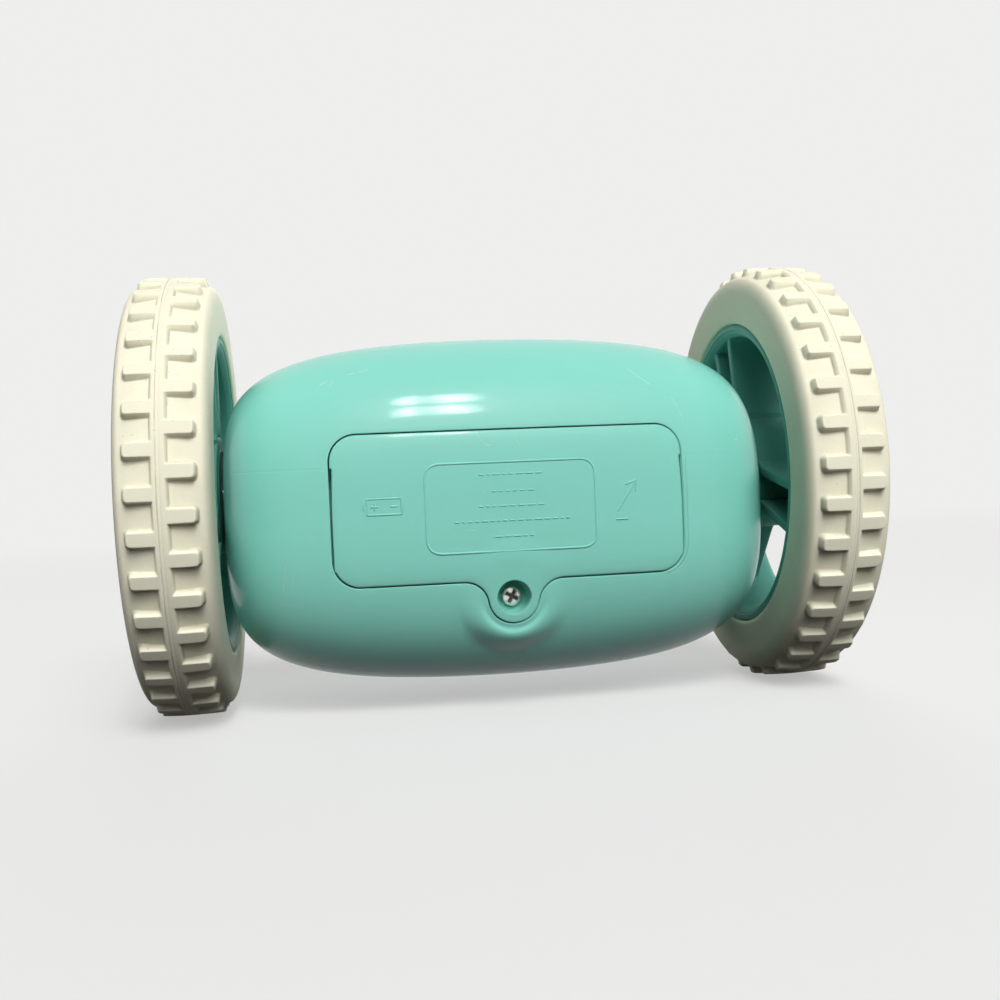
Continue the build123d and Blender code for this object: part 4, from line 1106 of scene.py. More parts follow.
@dataclass(frozen=True)
class FormedPart:
    """A construction node whose curved skin is shaded with the body form's own normals."""

    node: str
    body: str
    slot: str
    finish: Finish
    insets: tuple[float, ...] = (0.0,)
    near: float = 0.25
    aligned: float = 0.985
    lip_start: Optional[float] = None

    def build(self) -> Object:
        """Copies the node, merges its doubles, and gives the skin exact normals.

        Returns:
            The piece that replaces the node.
        """
        mesh = frame["nodes"][self.node].data.copy()
        mesh.name = self.node + "_skin"
        mesh.materials.clear()
        work = merged(mesh)
        bmesh.ops.dissolve_degenerate(work, edges=work.edges, dist=MERGE_DISTANCE * MM)
        if self.lip_start is not None:
            self.refine(work)
        work.to_mesh(mesh)
        work.free()
        if self.lip_start is not None:
            self.reshape(mesh)
        smooth_by_angle(mesh, 28.0)
        self.set_normals(mesh)
        return placed(mesh.name, mesh, self.finish, self.body, self.slot, self.node)

    @staticmethod
    def refine(work: bmesh.types.BMesh) -> None:
        """Splits the skin's edges round the screw tab, so that the pad is smooth.

        Args:
            work: the open mesh.
        """
        near = PAD.near(np.array([vertex.co[:] for vertex in work.verts]) / MM)
        chosen = [edge for edge in work.edges if near[edge.verts[0].index] and near[edge.verts[1].index]
                  and edge.calc_length() > 0.3 * MM]
        bmesh.ops.subdivide_edges(work, edges=chosen, cuts=2, use_grid_fill=True)

    def moved(self, points: Array) -> Array:
        """Points after the skin round the screw tab is raised along +Y.

        Args:
            points: array of shape (points, 3), which is changed in place.

        Returns:
            The points.
        """
        near = PAD.near(points)
        points[near, 1] += PAD.rise(points[near, 0], points[near, 2])
        return points

    def reshape(self, mesh: Mesh) -> None:
        """Moves the points as this part's skin asks, and stores their distance from its own edge.

        Args:
            mesh: the part's mesh, in metres.
        """
        points = self.moved(read(mesh.vertices, "co") / MM)
        mesh.vertices.foreach_set("co", (points * MM).reshape(-1))
        mesh.update()
        away = DoorOutline().away(points[:, [0, 2]]) - self.lip_start
        store_lip(mesh, np.where(points[:, 1] > 0, away, NO_EDGE))

    def form_at(self, points: Array, inset: float) -> tuple[Array, Array]:
        """Level and slope of the skin at points: the form's, or F(x, y - rise, z) where a pad is raised.

        Args:
            points: array of shape (points, 3).
            inset: how far the form is drawn in.

        Returns:
            The levels and the slopes.
        """
        if self.lip_start is None:
            return FORM.level(points, inset), FORM.gradient(points, inset)
        x, z = points[:, 0], points[:, 2]
        behind = points[:, 1] > PAD.front_y
        lowered = points - np.where(behind, PAD.rise(x, z), 0.0)[:, None] * np.array([0.0, 1.0, 0.0])
        slope = FORM.gradient(lowered, inset)
        step = 0.02
        for axis, (dx, dz) in ((0, (step, 0.0)), (2, (0.0, step))):
            change = (PAD.rise(x + dx, z + dz) - PAD.rise(x - dx, z - dz)) / (2 * step)
            slope[:, axis] -= slope[:, 1] * np.where(behind, change, 0.0)
        return FORM.level(lowered, inset), slope

    def set_normals(self, mesh: Mesh) -> None:
        """Replaces the normals of corners that lie on the form, where the face agrees with it.

        Args:
            mesh: the part's mesh, in metres.
        """
        corners = (read(mesh.vertices, "co") / MM)[read(mesh.loops, "vertex_index", 1, np.int32)]
        normals = read(mesh.corner_normals, "vector")
        sizes = read(mesh.polygons, "loop_total", 1, np.int32)
        flat = np.repeat(read(mesh.polygons, "normal"), sizes, axis=0)
        for inset in self.insets:
            level, slope = self.form_at(corners, inset)
            steep = np.linalg.norm(slope, axis=-1)
            unit = slope / steep[:, None]
            match = np.sum(unit * flat, axis=-1)
            chosen = (np.abs(level - 1) / steep < self.near) & (np.abs(match) > self.aligned)
            normals[chosen] = (unit * np.sign(match)[:, None])[chosen]
        mesh.normals_split_custom_set(normals.tolist())


@dataclass(frozen=True)
class DoorSkin(FormedPart):
    """The battery door: its drawn-in lower sides run out towards the bottom."""

    step_x: float = 33.45
    step_z: float = 48.5
    run_out: float = 9.0
    regained: float = 0.24

    def moved(self, points: Array) -> Array:
        """Adds, to the raised pad, a side wall that comes back out below the step.

        Args:
            points: array of shape (points, 3), which is changed in place.

        Returns:
            The points.
        """
        side = (np.abs(np.abs(points[:, 0]) - self.step_x) < 0.05) & (points[:, 2] < self.step_z + 0.01)
        share = eased((self.step_z - points[:, 2]) / self.run_out) * self.regained
        points[side, 0] += (np.sign(points[:, 0]) * share)[side]
        return super().moved(points)


@dataclass
class Case:
    """The body: shells, door, face plate and snooze pad, and what is raised on the door."""

    outline_half_width: float = 16.3
    outline_top: float = 48.5
    outline_bottom: float = 31.6
    outline_corner: float = 3.0
    ridge_width: float = 0.42
    ridge_height: float = 0.16
    bar_width: float = 0.36
    bar_height: float = 0.12
    bar_gap: float = 0.55
    row_heights: tuple[float, ...] = (46.2, 43.0, 40.2, 37.4, 34.4)
    row_lengths: tuple[float, ...] = (12.0, 9.0, 12.5, 22.0, 8.0)
    sign_middle: Pair = (24.0, 41.0)
    arrow: tuple[tuple[Pair, Pair], ...] = (
        ((-20.6, 38.2), (-24.4, 44.0)), ((-24.4, 44.0), (-22.3, 43.2)),
        ((-24.4, 44.0), (-24.3, 41.7)), ((-20.2, 36.6), (-22.6, 36.6)))

    def build(self) -> list[Object]:
        """Builds every piece of the body's skin.

        Returns:
            The pieces.
        """
        parts = [
            FormedPart("rear_shell", "case", "teal_plastic", TEAL_BACK, lip_start=0.3),
            FormedPart("front_shell", "case", "teal_plastic", TEAL),
            DoorSkin("battery_door", "door", "teal_plastic", TEAL_DOOR, lip_start=0.0),
            FormedPart("face_plate", "case", "cream_plastic", CREAM, insets=(-0.6,)),
            FormedPart("lcd_lens", "case", "clear_plastic", CLEAR, insets=(0.2, 1.2)),
            FormedPart("snooze_button", "snooze", "cream_plastic", CREAM, insets=(-0.8,)),
        ]
        raised = (self.raised_outline, self.raised_bars)
        return [part.build() for part in parts] + [
            make().build(TEAL, 60.0, "door", "teal_plastic") for make in raised]

    def ridge(self, x: Array, z: Array, width: float, height: float, closed: bool) -> Array:
        """A low half-round ridge along a path on the door.

        The section is p(t) = path + side * w/2 * cos t + normal * h * sin t, t from 0 to pi, with a
        base a little below the surface.

        Args:
            x: the path's X.
            z: the path's Z.
            width: the ridge's width.
            height: its height.
            closed: whether the path closes.

        Returns:
            Grid of points, one row for each place on the path.
        """
        path = np.stack([x, FORM.surface_y(x, z), z], axis=-1)
        ahead = np.roll(path, -1, axis=0) - np.roll(path, 1, axis=0) if closed else np.gradient(path, axis=0)
        slope = FORM.gradient(path, 0.0)
        normal = slope / np.linalg.norm(slope, axis=-1, keepdims=True)
        side = np.cross(ahead, normal)
        side /= np.linalg.norm(side, axis=-1, keepdims=True)
        t = np.linspace(0, np.pi, 7)
        across = np.concatenate([np.cos(t), [-1.0, 1.0]]) * width / 2
        up = np.concatenate([np.sin(t) * height, [-0.1, -0.1]])
        return path[:, None] + side[:, None] * across[None, :, None] + normal[:, None] * up[None, :, None]

    def raised_outline(self) -> Piece:
        """The thin raised line round the middle of the door.

        Returns:
            The piece, not yet built.
        """
        w, top, low = self.outline_half_width, self.outline_top, self.outline_bottom
        bends = rounded_loop([(w, top), (w, low), (-w, low), (-w, top)], [self.outline_corner] * 4, 14)
        x, z = resampled(bends, lambda whole: np.linspace(0, whole, 260, endpoint=False)).T
        piece = Piece("door_raised_outline")
        piece.add_grid(self.ridge(x, z, self.ridge_width, self.ridge_height, True), around=True, along=True)
        return piece

    def raised_bars(self) -> Piece:
        """Rows of short raised bars inside the outline, and plain signs beside it.

        Returns:
            The piece, not yet built.
        """
        rng = np.random.default_rng(7)
        piece = Piece("door_raised_bars")
        strokes: list[tuple[Pair, Pair]] = []
        for z, length in zip(self.row_heights, self.row_lengths):
            at = -length / 2
            while at < length / 2:
                bar = float(rng.uniform(0.5, 1.5))
                strokes.append(((at, z), (min(at + bar, length / 2), z)))
                at += bar + self.bar_gap
        for start, end in (*strokes, *self.cell_sign(), *self.arrow):
            x, z = np.linspace(start, end, 6).T
            piece.add_rod(self.ridge(x, z, self.bar_width, self.bar_height, False))
        return piece

    def cell_sign(self) -> list[tuple[Pair, Pair]]:
        """Strokes of a generic cell with plus and minus, left of the outline as one faces the door.

        Returns:
            Both ends of each stroke, as (x, z).
        """
        x, z = self.sign_middle
        box = [(x - 3.2, z - 1.5), (x + 3.2, z - 1.5), (x + 3.2, z + 1.5), (x - 3.2, z + 1.5)]
        sides = list(zip(box, box[1:] + box[:1]))
        return sides + [((x + 3.8, z - 0.6), (x + 3.8, z + 0.6)), ((x + 1.1, z), (x + 2.5, z)),
                        ((x + 1.8, z - 0.7), (x + 1.8, z + 0.7)), ((x - 2.5, z), (x - 1.1, z))]


# ---- Wheels ----------------------------------------------------------------------------------
@dataclass
class WheelPart:
    """A part of one wheel, worked out as (along the axle, radius, angle)."""

    side: Side

    def start(self, word: str) -> Piece:
        """An empty piece with this side's name."""
        return Piece(f"{self.side.label}_{word}")

    def on_axle(self, grid: Array) -> Array:
        """Turns (along, radius, angle) into X, Y and Z: Y = r sin a and Z = axle + r cos a.

        Args:
            grid: array whose last axis is (along, radius, angle).

        Returns:
            Points in millimetres.
        """
        along, radius, angle = np.moveaxis(grid, -1, 0)
        return np.stack([self.side.value * (TYRE_X + along), radius * np.sin(angle),
                         AXLE_Z + radius * np.cos(angle)], axis=-1)

    def settle(self, piece: Piece, finish: Finish, sharp: float, slot: str, node: str) -> Object:
        """Builds a piece that rides on this wheel in place of one of its nodes."""
        return piece.build(finish, sharp, f"{self.side.label}_wheel", slot, f"{self.side.label}_{node}")


@dataclass
class Tyre(WheelPart):
    """Pale rubber tyre: a crowned tread with a middle rib and two staggered rows of lugs."""

    phase: float = 0.0
    radius: float = 44.5
    half_width: float = 8.4
    bore: float = 32.6
    depth: float = 1.0
    shoulder_drop: float = 1.45
    edge_a: float = 6.75
    lugs: int = 36
    lug_reach: float = 6.1
    lug_half: float = 1.45
    lug_corner: float = 0.8
    rib_half: float = 1.3
    seam_depth: float = 0.11
    wall_places: tuple[float, ...] = (-0.34, -0.24, -0.16, 0.2, 0.27, 0.4)
    wall_shares: tuple[float, ...] = (1.0, 0.985, 0.92, 0.1, 0.03, 0.0)

    def ground(self, along: Array) -> Array:
        """Radius of the tread's ground: it falls as |a|^1.4 from the middle to the shoulders."""
        share = np.clip(np.abs(along) / self.half_width, 0, 1)
        return self.radius - self.depth - self.shoulder_drop * share ** 1.4

    def away_from_lugs(self, along: Array, angle: Array) -> Array:
        """Distance outside the nearest lug or the rib, negative inside.

        A lug is a rectangle with rounded corners in the unrolled tread: with q = |p| - half size +
        corner, its distance is |max(q, 0)| + min(max(q), 0) - corner.

        Args:
            along: places along the axle.
            angle: turns round it, in radians.

        Returns:
            The distances.
        """
        pitch = 2 * np.pi / self.lugs
        turn = angle / pitch - np.where(along < 0, 0.5, 0.0) - self.phase
        run = (turn - np.round(turn)) * pitch * self.radius
        qx = np.abs(along) - self.lug_reach + self.lug_corner
        qy = np.abs(run) - self.lug_half + self.lug_corner
        outside = np.hypot(np.maximum(qx, 0), np.maximum(qy, 0))
        lug = outside + np.minimum(np.maximum(qx, qy), 0) - self.lug_corner
        return np.minimum(lug, np.abs(along) - self.rib_half)

    def seam(self, along: Array) -> Array:
        """Share of the fine parting grooves beside the middle of the rib."""
        return np.maximum(np.exp(-((along - 0.45) / 0.11) ** 2), 0.7 * np.exp(-((along + 0.1) / 0.09) ** 2))

    def height(self, along: Array, angle: Array) -> Array:
        """Radius of the tread: ground, raised to the tops where the distance is under zero.

        Args:
            along: places along the axle.
            angle: turns round it, in radians.

        Returns:
            The radii.
        """
        raised = np.interp(self.away_from_lugs(along, angle), self.wall_places, self.wall_shares)
        top = self.radius - 0.06 - 0.22 * (np.abs(along) / self.lug_reach) ** 3
        ground = self.ground(along)
        lifted = (np.maximum(top, ground) - ground) * raised
        return ground + lifted - self.seam_depth * self.seam(along) * raised

    def angles(self) -> Array:
        """Steps round the tyre, gathered at the lugs' walls and rounded corners.

        Returns:
            The steps, in radians.
        """
        pitch = 2 * np.pi / self.lugs
        walls = (self.lug_half + np.array(self.wall_places)) / self.radius
        bends = (self.lug_half - np.array([0.75, 0.5])) / self.radius
        fill = np.array([0.0, pitch / 4, pitch / 2, 3 * pitch / 4])
        steps = [half + way * part for part in (walls, bends) for half in (0.0, pitch / 2) for way in (1, -1)]
        period = np.unique(np.round(np.mod(np.concatenate(steps + [fill]), pitch), 6))
        return ((np.arange(self.lugs)[:, None] + self.phase) * pitch + period[None, :]).reshape(-1)

    def tread_steps(self) -> Array:
        """Steps along the axle, gathered at the rib's walls, the seam lines and the lugs' ends.

        Returns:
            The steps, from the inner edge to the outer one.
        """
        rib = self.rib_half + np.array(self.wall_places)
        end = self.lug_reach + np.array((-0.8, -0.62, -0.48) + self.wall_places)
        half = np.concatenate([rib, [2.6, 4.0], end, [self.edge_a]])
        seams = np.array([-0.55, -0.2, -0.1, 0.0, 0.12, 0.26, 0.36, 0.45, 0.54, 0.66])
        return np.sort(np.concatenate([-half, seams, half]))

    def shoulder(self, angle: Array, way: int) -> Array:
        """Rows from the tread's edge over the shoulder and down the sidewall to the bead.

        The shoulder is a quarter of a superellipse between the last tread row and the sidewall.

        Args:
            angle: the turn of each column.
            way: 1 for the outer shoulder, -1 for the inner one.

        Returns:
            Grid of (along, radius, angle).
        """
        t = np.linspace(0, np.pi / 2, 9)[1:]
        a = self.edge_a + (self.half_width - self.edge_a) * np.sin(t) ** 0.9
        r = self.ground(np.array(self.edge_a)) - 3.4 * (1 - np.cos(t)) ** 0.95
        wall = np.array([[8.4, 35.6], [8.38, 33.5], [8.3, 32.95], [8.15, 32.7]])
        return revolved(np.vstack([np.column_stack([a, r]), wall]) * np.array([way, 1.0]), angle)

    def build(self) -> Object:
        """Builds the tyre.

        Returns:
            The piece that replaces the tyre's node.
        """
        angle = self.angles()
        along, turn = np.meshgrid(self.tread_steps(), angle, indexing="ij")
        tread = np.stack([along, self.height(along, turn), turn], axis=-1)
        away = self.away_from_lugs(along, turn)
        # The seam grooves get the stored distance at which the tread darkens most: grime and painted shade
        # along them.
        away = np.where((self.seam(along) > 0.4) & (np.abs(along) < 1.0), 0.2, away)
        bead = revolved(np.array([[7.9, self.bore], [0.0, self.bore], [-7.9, self.bore]]), angle)
        inner, outer = self.shoulder(angle, -1)[::-1], self.shoulder(angle, 1)
        before, after = [np.full((len(part), len(angle)), 2.0) for part in (inner, [*outer, *bead])]
        piece = self.start("tyre_rubber")
        piece.add_grid(self.on_axle(np.concatenate([inner, tread, outer, bead])), around=True, along=True,
                       values=np.concatenate([before, away, after]))
        return self.settle(piece, TREAD, 60.0, "tyre_rubber", "tyre")


@dataclass
class Rim(WheelPart):
    """Moulded rim: a barrel, three channel spokes and a hub that reaches in to the body."""

    first_angle: float = 6.0
    half_width: float = 8.1
    outer: float = 32.58
    bore: float = 29.9
    spokes: int = 3
    spoke_half: float = 4.0
    spoke_widens: float = 1.5
    flare: float = 0.9
    flare_reach: float = 0.7
    rib: float = 1.9
    web: float = 2.0
    inner_a: float = -6.8
    outer_a: float = 3.4
    hub: float = 12.0
    boss: float = 9.0

    def barrel(self) -> Array:
        """The barrel's closed profile, turned round the axle: on each face a bead, a step and a bevel.

        Returns:
            Grid of (along, radius, angle).
        """
        h, out = self.half_width, self.outer
        face = [(-h + 0.5, out), (-h, out - 0.55), (-h, out - 1.35), (-h + 0.3, out - 1.5),
                (-h + 0.3, out - 1.85), (-h + 1.4, self.bore)]
        radii = [0.3, 0.3, 0.1, 0.1, 0.25, 0.4]
        corners = [(-a, r) for a, r in face] + face[::-1]
        return revolved(rounded_loop(corners, radii + radii[::-1], 3), even_turns(180))

    def hub_drum(self) -> Array:
        """The hub's closed profile, turned round the axle: boss, drum, cap seat and bore.

        Returns:
            Grid of (along, radius, angle).
        """
        corners = [(-7.0, 2.0), (-7.0, self.boss), (self.inner_a, self.boss), (self.inner_a, self.hub),
                   (4.4, self.hub), (4.4, 8.05), (2.8, 8.05), (2.8, 4.0), (0.0, 4.0), (0.0, 2.0)]
        radii = [0.2, 0.5, 0.4, 0.5, 0.6, 0.25, 0.15, 0.15, 0.1, 0.1]
        return revolved(rounded_loop(corners, radii), even_turns(96))

    def half_spoke(self, reach: float) -> float:
        """Half width of a spoke at a distance from the axle, flared where it meets hub and barrel.

        Args:
            reach: the distance.

        Returns:
            The half width.
        """
        plain = self.spoke_half + self.spoke_widens * (reach - 6.0) / 25.25
        at_hub = np.exp(-(reach - self.hub) / self.flare_reach) * (reach > 11.5)
        return plain + self.flare * at_hub + self.flare * np.exp((reach - self.bore) / self.flare_reach)

    def spoke(self, angle: float) -> Array:
        """A channel swept outwards; its section keeps its wall thicknesses while it widens.

        Args:
            angle: from up towards the door, in degrees.

        Returns:
            Grid of (along, radius, angle).
        """
        reach = np.array([9.0, 11.9, 12.1, 12.5, 13.0, 13.8, 16.0, 19.0, 22.0, 25.0, 27.4, 28.6, 29.3, 29.7,
                          29.9, 31.2])
        along, across = np.moveaxis(np.stack([self.section(self.half_spoke(value)) for value in reach]), -1, 0)
        out = reach[:, None]
        turn = np.arctan2(across, out) + np.radians(angle)
        return np.stack([along, np.hypot(across, out), turn], axis=-1)

    def section(self, half: float) -> Array:
        """The channel's rounded outline as (along, across) for a half width.

        Args:
            half: the half width.

        Returns:
            Array of shape (points, 2).
        """
        low, high = self.inner_a, self.outer_a
        inner = half - self.rib
        corners = [(low, half), (high, half), (high, -half), (low, -half), (low, -inner),
                   (high - self.web, -inner), (high - self.web, inner), (low, inner)]
        return rounded_loop(corners, [0.4, 0.7, 0.7, 0.4, 0.4, 0.6, 0.6, 0.4])

    def build(self) -> Object:
        """Builds the rim.

        Returns:
            The piece that replaces the rim's node.
        """
        piece = self.start("rim_moulding")
        for ring in (self.barrel(), self.hub_drum()):
            piece.add_grid(self.on_axle(ring), around=True, along=True)
        for number in range(self.spokes):
            piece.add_rod(self.on_axle(self.spoke(self.first_angle + 360.0 * number / self.spokes)))
        return self.settle(piece, TEAL_WHEEL_SHADED, 40.0, "teal_plastic", "rim")


@dataclass
class HubCap(WheelPart):
    """Slightly domed cap with a shallow ring groove, in the hub's outer face."""

    radius: float = 7.95
    base_a: float = 2.8
    face_a: float = 4.4
    dome: float = 0.55
    groove_radius: float = 5.72
    groove_depth: float = 0.22
    groove_width: float = 0.16

    def build(self) -> Object:
        """Builds the cap: its face is face + dome * (1 - (r / R)^2), less a groove at 0.72 R.

        Returns:
            The piece that replaces the cap's node.
        """
        r = np.concatenate([np.linspace(0.0, 5.2, 8), np.linspace(5.35, 6.1, 7), [6.5, 7.0, 7.4, 7.7, 7.88]])
        groove = self.groove_depth * np.exp(-((r - self.groove_radius) / self.groove_width) ** 2)
        a = self.face_a + self.dome * (1 - (r / self.radius) ** 2) - groove
        rim = [[self.face_a - 0.15, self.radius], [self.base_a + 0.1, self.radius],
               [self.base_a, self.radius - 0.1], [self.base_a, 0.0]]
        piece = self.start("hub_cap_dome")
        piece.add_grid(self.on_axle(revolved(np.vstack([np.column_stack([a, r]), rim]), even_turns(96))),
                       along=True)
        return self.settle(piece, TEAL_WHEEL_SHADED, 40.0, "teal_plastic", "hub_cap")


@dataclass
class Wheel:
    """One wheel: tyre, rim and cap."""

    side: Side
    first_spoke: float
    tread_phase: float

    def build(self) -> list[Object]:
        """Builds the wheel's three pieces."""
        parts = (Tyre(self.side, self.tread_phase), Rim(self.side, self.first_spoke), HubCap(self.side))
        return [part.build() for part in parts]


@dataclass
class DoorScrew:
    """Pan-head cross screw at the bottom of the door's cup, with a cut thread on its shank."""

    seat_y: float = 24.0
    middle_z: float = 22.6
    head: float = 1.98
    head_height: float = 1.38
    shank: float = 0.98
    length: float = 7.9
    arm: float = 0.27
    arm_reach: float = 1.28
    cross_depth: float = 0.8
    turned: float = 0.5
    pitch: float = 0.7

    def arms(self, u: Array, v: Array) -> Array:
        """Distance outside the cross, negative inside it.

        Args:
            u: places across the head.
            v: places up it.

        Returns:
            The distances.
        """
        c, t = np.cos(self.turned), np.sin(self.turned)
        p, q = np.abs(c * u + t * v), np.abs(c * v - t * u)
        return np.minimum(np.maximum(p - self.arm, q - self.arm_reach),
                          np.maximum(q - self.arm, p - self.arm_reach))

    def face(self, u: Array, v: Array) -> Array:
        """Height of the head above its seat.

        The pan is h * (1 - 0.2 s^2 - 0.3 s^24) with s the share of the radius. The cross is sunk where the
        distance to its arms is under zero, less deep towards the arms' ends.

        Args:
            u: places across the head.
            v: places up it.

        Returns:
            The heights.
        """
        r = np.hypot(u, v)
        pan = self.head_height * (1 - 0.2 * (r / self.head) ** 2 - 0.3 * np.clip(r / self.head, 0, 1) ** 24)
        arms = self.arms(u, v)
        depth = self.cross_depth * (1 - 0.55 * np.clip(r / self.arm_reach, 0, 1) ** 2)
        burr = 0.05 * np.exp(-((arms - 0.1) / 0.08) ** 2)
        return pan - depth * eased(0.5 - arms / 0.16) + burr

    def build(self) -> Object:
        """Builds the screw from a square grid bent to a disc: u = p sqrt(1 - q^2 / 2), v likewise.

        Returns:
            The piece that replaces the screw's node.
        """
        steps = np.linspace(-1, 1, 65)
        p, q = np.meshgrid(steps, steps, indexing="ij")
        u, v = self.head * p * np.sqrt(1 - q * q / 2), self.head * q * np.sqrt(1 - p * p / 2)
        top = np.stack([u, self.seat_y + self.face(u, v), self.middle_z + v], axis=-1)
        edge = np.vstack([top[0], top[1:, -1], top[-1, -2::-1], top[-2:0:-1, 0]])
        piece = Piece("door_screw_head")
        # The stored distance marks the cross and the head's edge, where the screw's finish paints shade.
        piece.add_grid(top, values=np.minimum(self.arms(u, v) + 0.06, 1.6 * (self.head - np.hypot(u, v))))
        under = edge.copy()
        under[:, 1] = self.seat_y
        piece.add_grid(np.stack([edge, under]), along=True)
        turn = np.arctan2(edge[:, 2] - self.middle_z, edge[:, 0])
        down = np.linspace(0, self.length, 90)[:, None]
        ridge = np.maximum(0, np.cos(2 * np.pi * down / self.pitch - turn[None])) ** 4
        radius = self.shank * (0.8 + 0.2 * ridge) * np.clip((self.length + 0.2 - down) / 1.2, 0.1, 1) ** 0.6
        shank = np.stack([radius * np.cos(turn), self.seat_y - np.broadcast_to(down, radius.shape),
                          self.middle_z + radius * np.sin(turn)], axis=-1)
        piece.add_grid(np.concatenate([under[None], shank]), along=True)
        piece.add_cap(shank[-1])
        return piece.build(SCREW, 40.0, "door", "steel", "door_screw")


# ---- Display ---------------------------------------------------------------------------------
@dataclass
class Display:
    """Seven-segment figures on the display glass."""

    text: str = "7:30"
    height: float = 9.0
    width: float = 4.6
    stroke: float = 1.05
    pitch: float = 6.6
    gap: float = 0.14
    lean: float = 0.08
    dot: float = 0.62
    dot_up: float = 1.9
    middle_z: float = 48.0
    face_y: float = -26.4
    thickness: float = 0.03

    segments = {"0": "abcdef", "3": "abcdg", "7": "abc"}

    def bars(self) -> dict[str, Array]:
        """Outline of each segment, a pointed six-sided bar, in a figure centred on the origin.

        Returns:
            Segment to outline.
        """
        w, h = self.width / 2, self.height / 2
        ends = {"a": ((-w, h), (w, h)), "b": ((w, h), (w, 0)), "c": ((w, 0), (w, -h)),
                "d": ((-w, -h), (w, -h)), "e": ((-w, -h), (-w, 0)), "f": ((-w, 0), (-w, h)),
                "g": ((-w, 0), (w, 0))}
        bars = {}
        for name, (start, end) in ends.items():
            a, b = np.array(start), np.array(end)
            ahead = (b - a) / np.linalg.norm(b - a)
            side = np.array([-ahead[1], ahead[0]]) * self.stroke / 2
            a, b = a + ahead * self.gap, b - ahead * self.gap
            inset = ahead * self.stroke / 2
            bars[name] = np.array([a, a + inset + side, b - inset + side, b, b - inset - side,
                                   a + inset - side])
        return bars

    def add(self, piece: Piece, flat: Array, middle_x: float) -> None:
        """Adds a thin slab with a flat outline, leaned as the figures are.

        Args:
            piece: the figures.
            flat: the outline, array of shape (points, 2).
            middle_x: the figure's middle.
        """
        x = middle_x + flat[:, 0] + self.lean * flat[:, 1]
        z = self.middle_z + flat[:, 1]
        piece.add_rod(np.stack([np.stack([x, np.full_like(x, self.face_y - out), z], axis=-1)
                                for out in (-0.01, self.thickness)]))

    def build(self) -> Object:
        """Builds the figures as one piece on the glass.

        Returns:
            The piece.
        """
        piece = Piece("display_figures")
        at = -self.pitch * 1.25
        bars = self.bars()
        turn = even_turns(16)
        dot = np.stack([np.cos(turn), np.sin(turn)], axis=-1) * self.dot
        for sign in self.text:
            if sign == ":":
                for up in (self.dot_up, -self.dot_up):
                    self.add(piece, dot + np.array([0.0, up]), at - self.pitch * 0.25)
                at += self.pitch * 0.5
            else:
                for name in self.segments[sign]:
                    self.add(piece, bars[name], at)
                at += self.pitch
        return piece.build(SEGMENT, 30.0, "case", "black_plastic")


# ---- Inner works -----------------------------------------------------------------------------
@dataclass
class InnerWorks:
    """Finishes of the construction's own nodes that stay as they are."""

    finishes: dict[str, Finish] = field(default_factory=lambda: {
        "teal_plastic": TEAL, "cream_plastic": CREAM, "tyre_rubber": TREAD, "clear_plastic": CLEAR,
        "lcd_grey": DISPLAY, "white_plastic": WHITE_PART, "black_plastic": BLACK_PART,
        "circuit_board": BOARD, "nylon": NYLON, "brass": BRASS, "motor_can": MOTOR_CAN,
        "cell_wrap": CELL_PLUS, "spring_steel": SPRING, "plain_steel": ROLLED, "steel": PLATED})
    turned_cells: tuple[str, ...] = ("battery_cell_2", "battery_cell_3")

    def dress(self) -> int:
        """Gives every node the finish of its slot, and the turned cells their own.

        Returns:
            How many nodes were dressed.
        """
        slots = {part["node"]: part["material_slot"] for part in frame["record"]["subparts"]}
        for name, node in frame["nodes"].items():
            finish = CELL_MINUS if name in self.turned_cells else self.finishes[slots[name]]
            node.data.materials.clear()
            node.data.materials.append(finish.material())
        return len(slots)


# ---- Studio ----------------------------------------------------------------------------------
@dataclass(frozen=True)
class WindowPane:
    """One upright pane of a far window: where it stands, in millimetres, and its width."""

    name: str
    place: Triple
    width: float
    height: float = 250.0


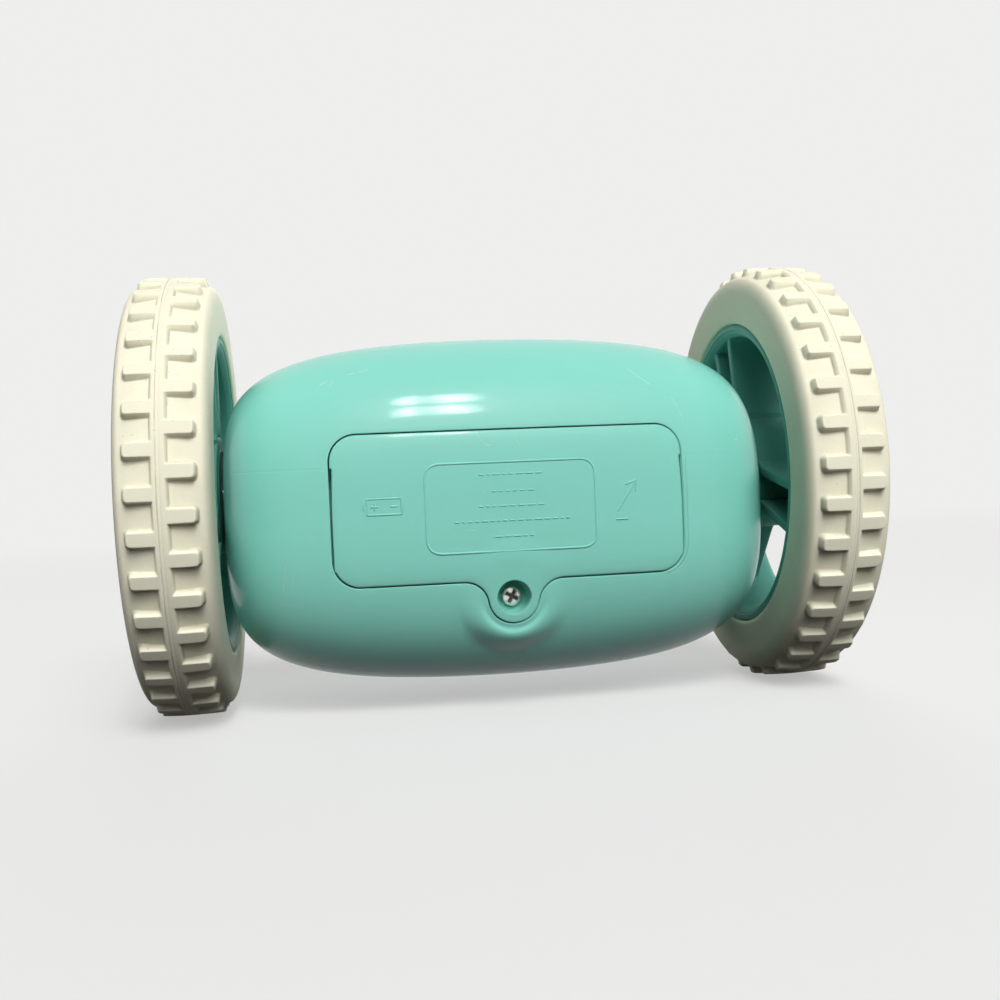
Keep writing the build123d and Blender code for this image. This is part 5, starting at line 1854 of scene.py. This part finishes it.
@dataclass
class Studio:
    """Camera, floor, soft sky light and a far window."""

    place: Triple = (34.698, 249.277, 44.156)
    turn: Triple = (89.2593, 2.5098, 171.5376)
    lens: float = 42.27
    sensor: float = 36.0
    backdrop: float = 0.86
    tint: tuple[float, float, float, float] = (1.0, 0.999, 0.992, 1.0)
    ambient: float = 0.035
    sky_spread: float = 22.0
    sky: tuple[tuple[Triple, float], ...] = (
        ((-0.1, 0.77, 0.63), 10.7), ((-0.15, -0.96, 0.22), 8.4),
        ((0.88, -0.42, 0.14), 2.2), ((-0.88, -0.42, 0.14), 4.2))
    floor_half: float = 30.0
    floor_near: float = 0.25
    floor_far: float = 1.2
    floor_white: float = 0.39
    floor_glow: float = 0.42
    floor_bounce: float = 0.02
    pane_light: float = 47.0
    pane_tint: Triple = (1.0, 0.99, 0.97)
    pane_aim: Triple = (0.0, 0.0, 0.05)
    panes: tuple[WindowPane, ...] = (
        WindowPane("pane_upper_left", (6.7, 1220.5, 1664.8), 80.0),
        WindowPane("pane_lower_left", (4.8, 1479.4, 1434.7), 80.0),
        WindowPane("pane_upper_right", (-152.7, 1222.7, 1655.0), 112.0),
        WindowPane("pane_lower_right", (-152.5, 1477.6, 1424.9), 112.0))

    @staticmethod
    def show(name: str, data: bpy.types.ID, place: Triple = (0.0, 0.0, 0.0)) -> Object:
        """Shows a camera, lamp or mesh at a place in millimetres.

        Args:
            name: the object's name.
            data: the camera, lamp or mesh.
            place: where it stands.

        Returns:
            The object.
        """
        shown = bpy.data.objects.new(name, data)
        shown.location = Vector(place) * MM
        bpy.context.scene.collection.objects.link(shown)
        return shown

    def camera(self) -> None:
        """Places the camera."""
        data = bpy.data.cameras.new("camera")
        data.lens = self.lens
        data.sensor_width = self.sensor
        data.clip_start = 0.01
        camera = self.show("camera", data, self.place)
        camera.rotation_euler = np.radians(self.turn).tolist()
        bpy.context.scene.camera = camera

    @staticmethod
    def seen(tree: Tree) -> Wire:
        """1 for rays from the camera, from gloss and through glass, which see the pale background.

        Args:
            tree: the tree to add to.

        Returns:
            The wire.
        """
        paths = tree.add("LightPath")
        gloss = paths["Is Camera Ray"].maths("MAXIMUM", paths["Is Glossy Ray"])
        return gloss.maths("MAXIMUM", paths["Is Transmission Ray"])

    def floor(self) -> None:
        """A pale floor that carries the object's shadow; it throws little light back up."""
        made = bpy.data.materials.new("floor")
        made.use_nodes = True
        nodes = made.node_tree.nodes
        nodes.remove(nodes["Principled BSDF"])
        tree = Tree(made.node_tree)
        seen = self.seen(tree)
        reach = tree.coordinates().vector("LENGTH", pick="Value")
        far = reach.spread(self.floor_near, self.floor_far, interpolation_type="SMOOTHSTEP")
        white = tree.effect(Effects.tone, color=grey(self.floor_white), scale=3.0, amount=0.01)
        shade = tree.mix(seen * (1.0 - far), grey(0.0), white["Color"])
        level = tree.between(seen, self.floor_bounce, tree.between(far, self.floor_glow, self.backdrop))
        matt = tree.add("BsdfDiffuse", {"Color": shade})
        glow = tree.add("Emission", {"Color": self.tint, "Strength": level})
        both = tree.add("AddShader", {0: matt[0], 1: glow[0]})
        tree.feed(nodes["Material Output"].inputs["Surface"], both[0])
        mesh = bpy.data.meshes.new("floor")
        h = self.floor_half
        mesh.from_pydata([(-h, -h, 0), (h, -h, 0), (h, h, 0), (-h, h, 0)], [], [(0, 1, 2, 3)])
        mesh.materials.append(made)
        self.show("floor", mesh)

    def world(self) -> None:
        """Soft light, strongest from behind and above: each part is level * max(0, cos)^spread."""
        world = bpy.data.worlds.new("world")
        bpy.context.scene.world = world
        world.use_nodes = True
        tree = Tree(world.node_tree)
        back = world.node_tree.nodes["Background"]
        way = tree.coordinates("Generated")
        light: object = self.ambient
        for aim, level in self.sky:
            facing = way.vector("DOT_PRODUCT", Vector(aim).normalized(), pick="Value")
            light = facing.maths("MAXIMUM", 0.0).maths("POWER", self.sky_spread) * level + light
        tree.feed(back.inputs["Color"], self.tint)
        tree.feed(back.inputs["Strength"], tree.between(self.seen(tree), light, self.backdrop))

    def pane(self, pane: WindowPane) -> None:
        """One window pane as an area lamp that looks at the clock.

        Its power is light * pi * area, which gives the pane that radiance.

        Args:
            pane: the pane.
        """
        data = bpy.data.lights.new(pane.name, "AREA")
        data.shape = "RECTANGLE"
        data.size, data.size_y = pane.width * MM, pane.height * MM
        data.energy = self.pane_light * np.pi * data.size * data.size_y
        data.color = self.pane_tint
        lamp = self.show(pane.name, data, pane.place)
        lamp.rotation_euler = (Vector(self.pane_aim) - lamp.location).to_track_quat("-Z", "Y").to_euler()

    def build(self) -> None:
        """Sets the whole studio up."""
        self.camera()
        self.floor()
        self.world()
        for pane in self.panes:
            self.pane(pane)
        bpy.context.scene.view_settings.view_transform = "Standard"


def main() -> None:
    """Builds and dresses the clock."""
    logging.basicConfig(level=logging.INFO, format="%(message)s")
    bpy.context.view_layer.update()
    Studio().build()
    LOG.info("dressed %d nodes", InnerWorks().dress())
    assemblies = (Case(), Wheel(Side.RIGHT, 6.0, -0.08), Wheel(Side.LEFT, -15.0, 0.37), DoorScrew(), Display())
    for assembly in assemblies:
        made = assembly.build()
        for piece in made if isinstance(made, list) else [made]:
            LOG.info("piece %s: %d faces", piece.name, len(piece.data.polygons))


if __name__ == "__main__":
    main()
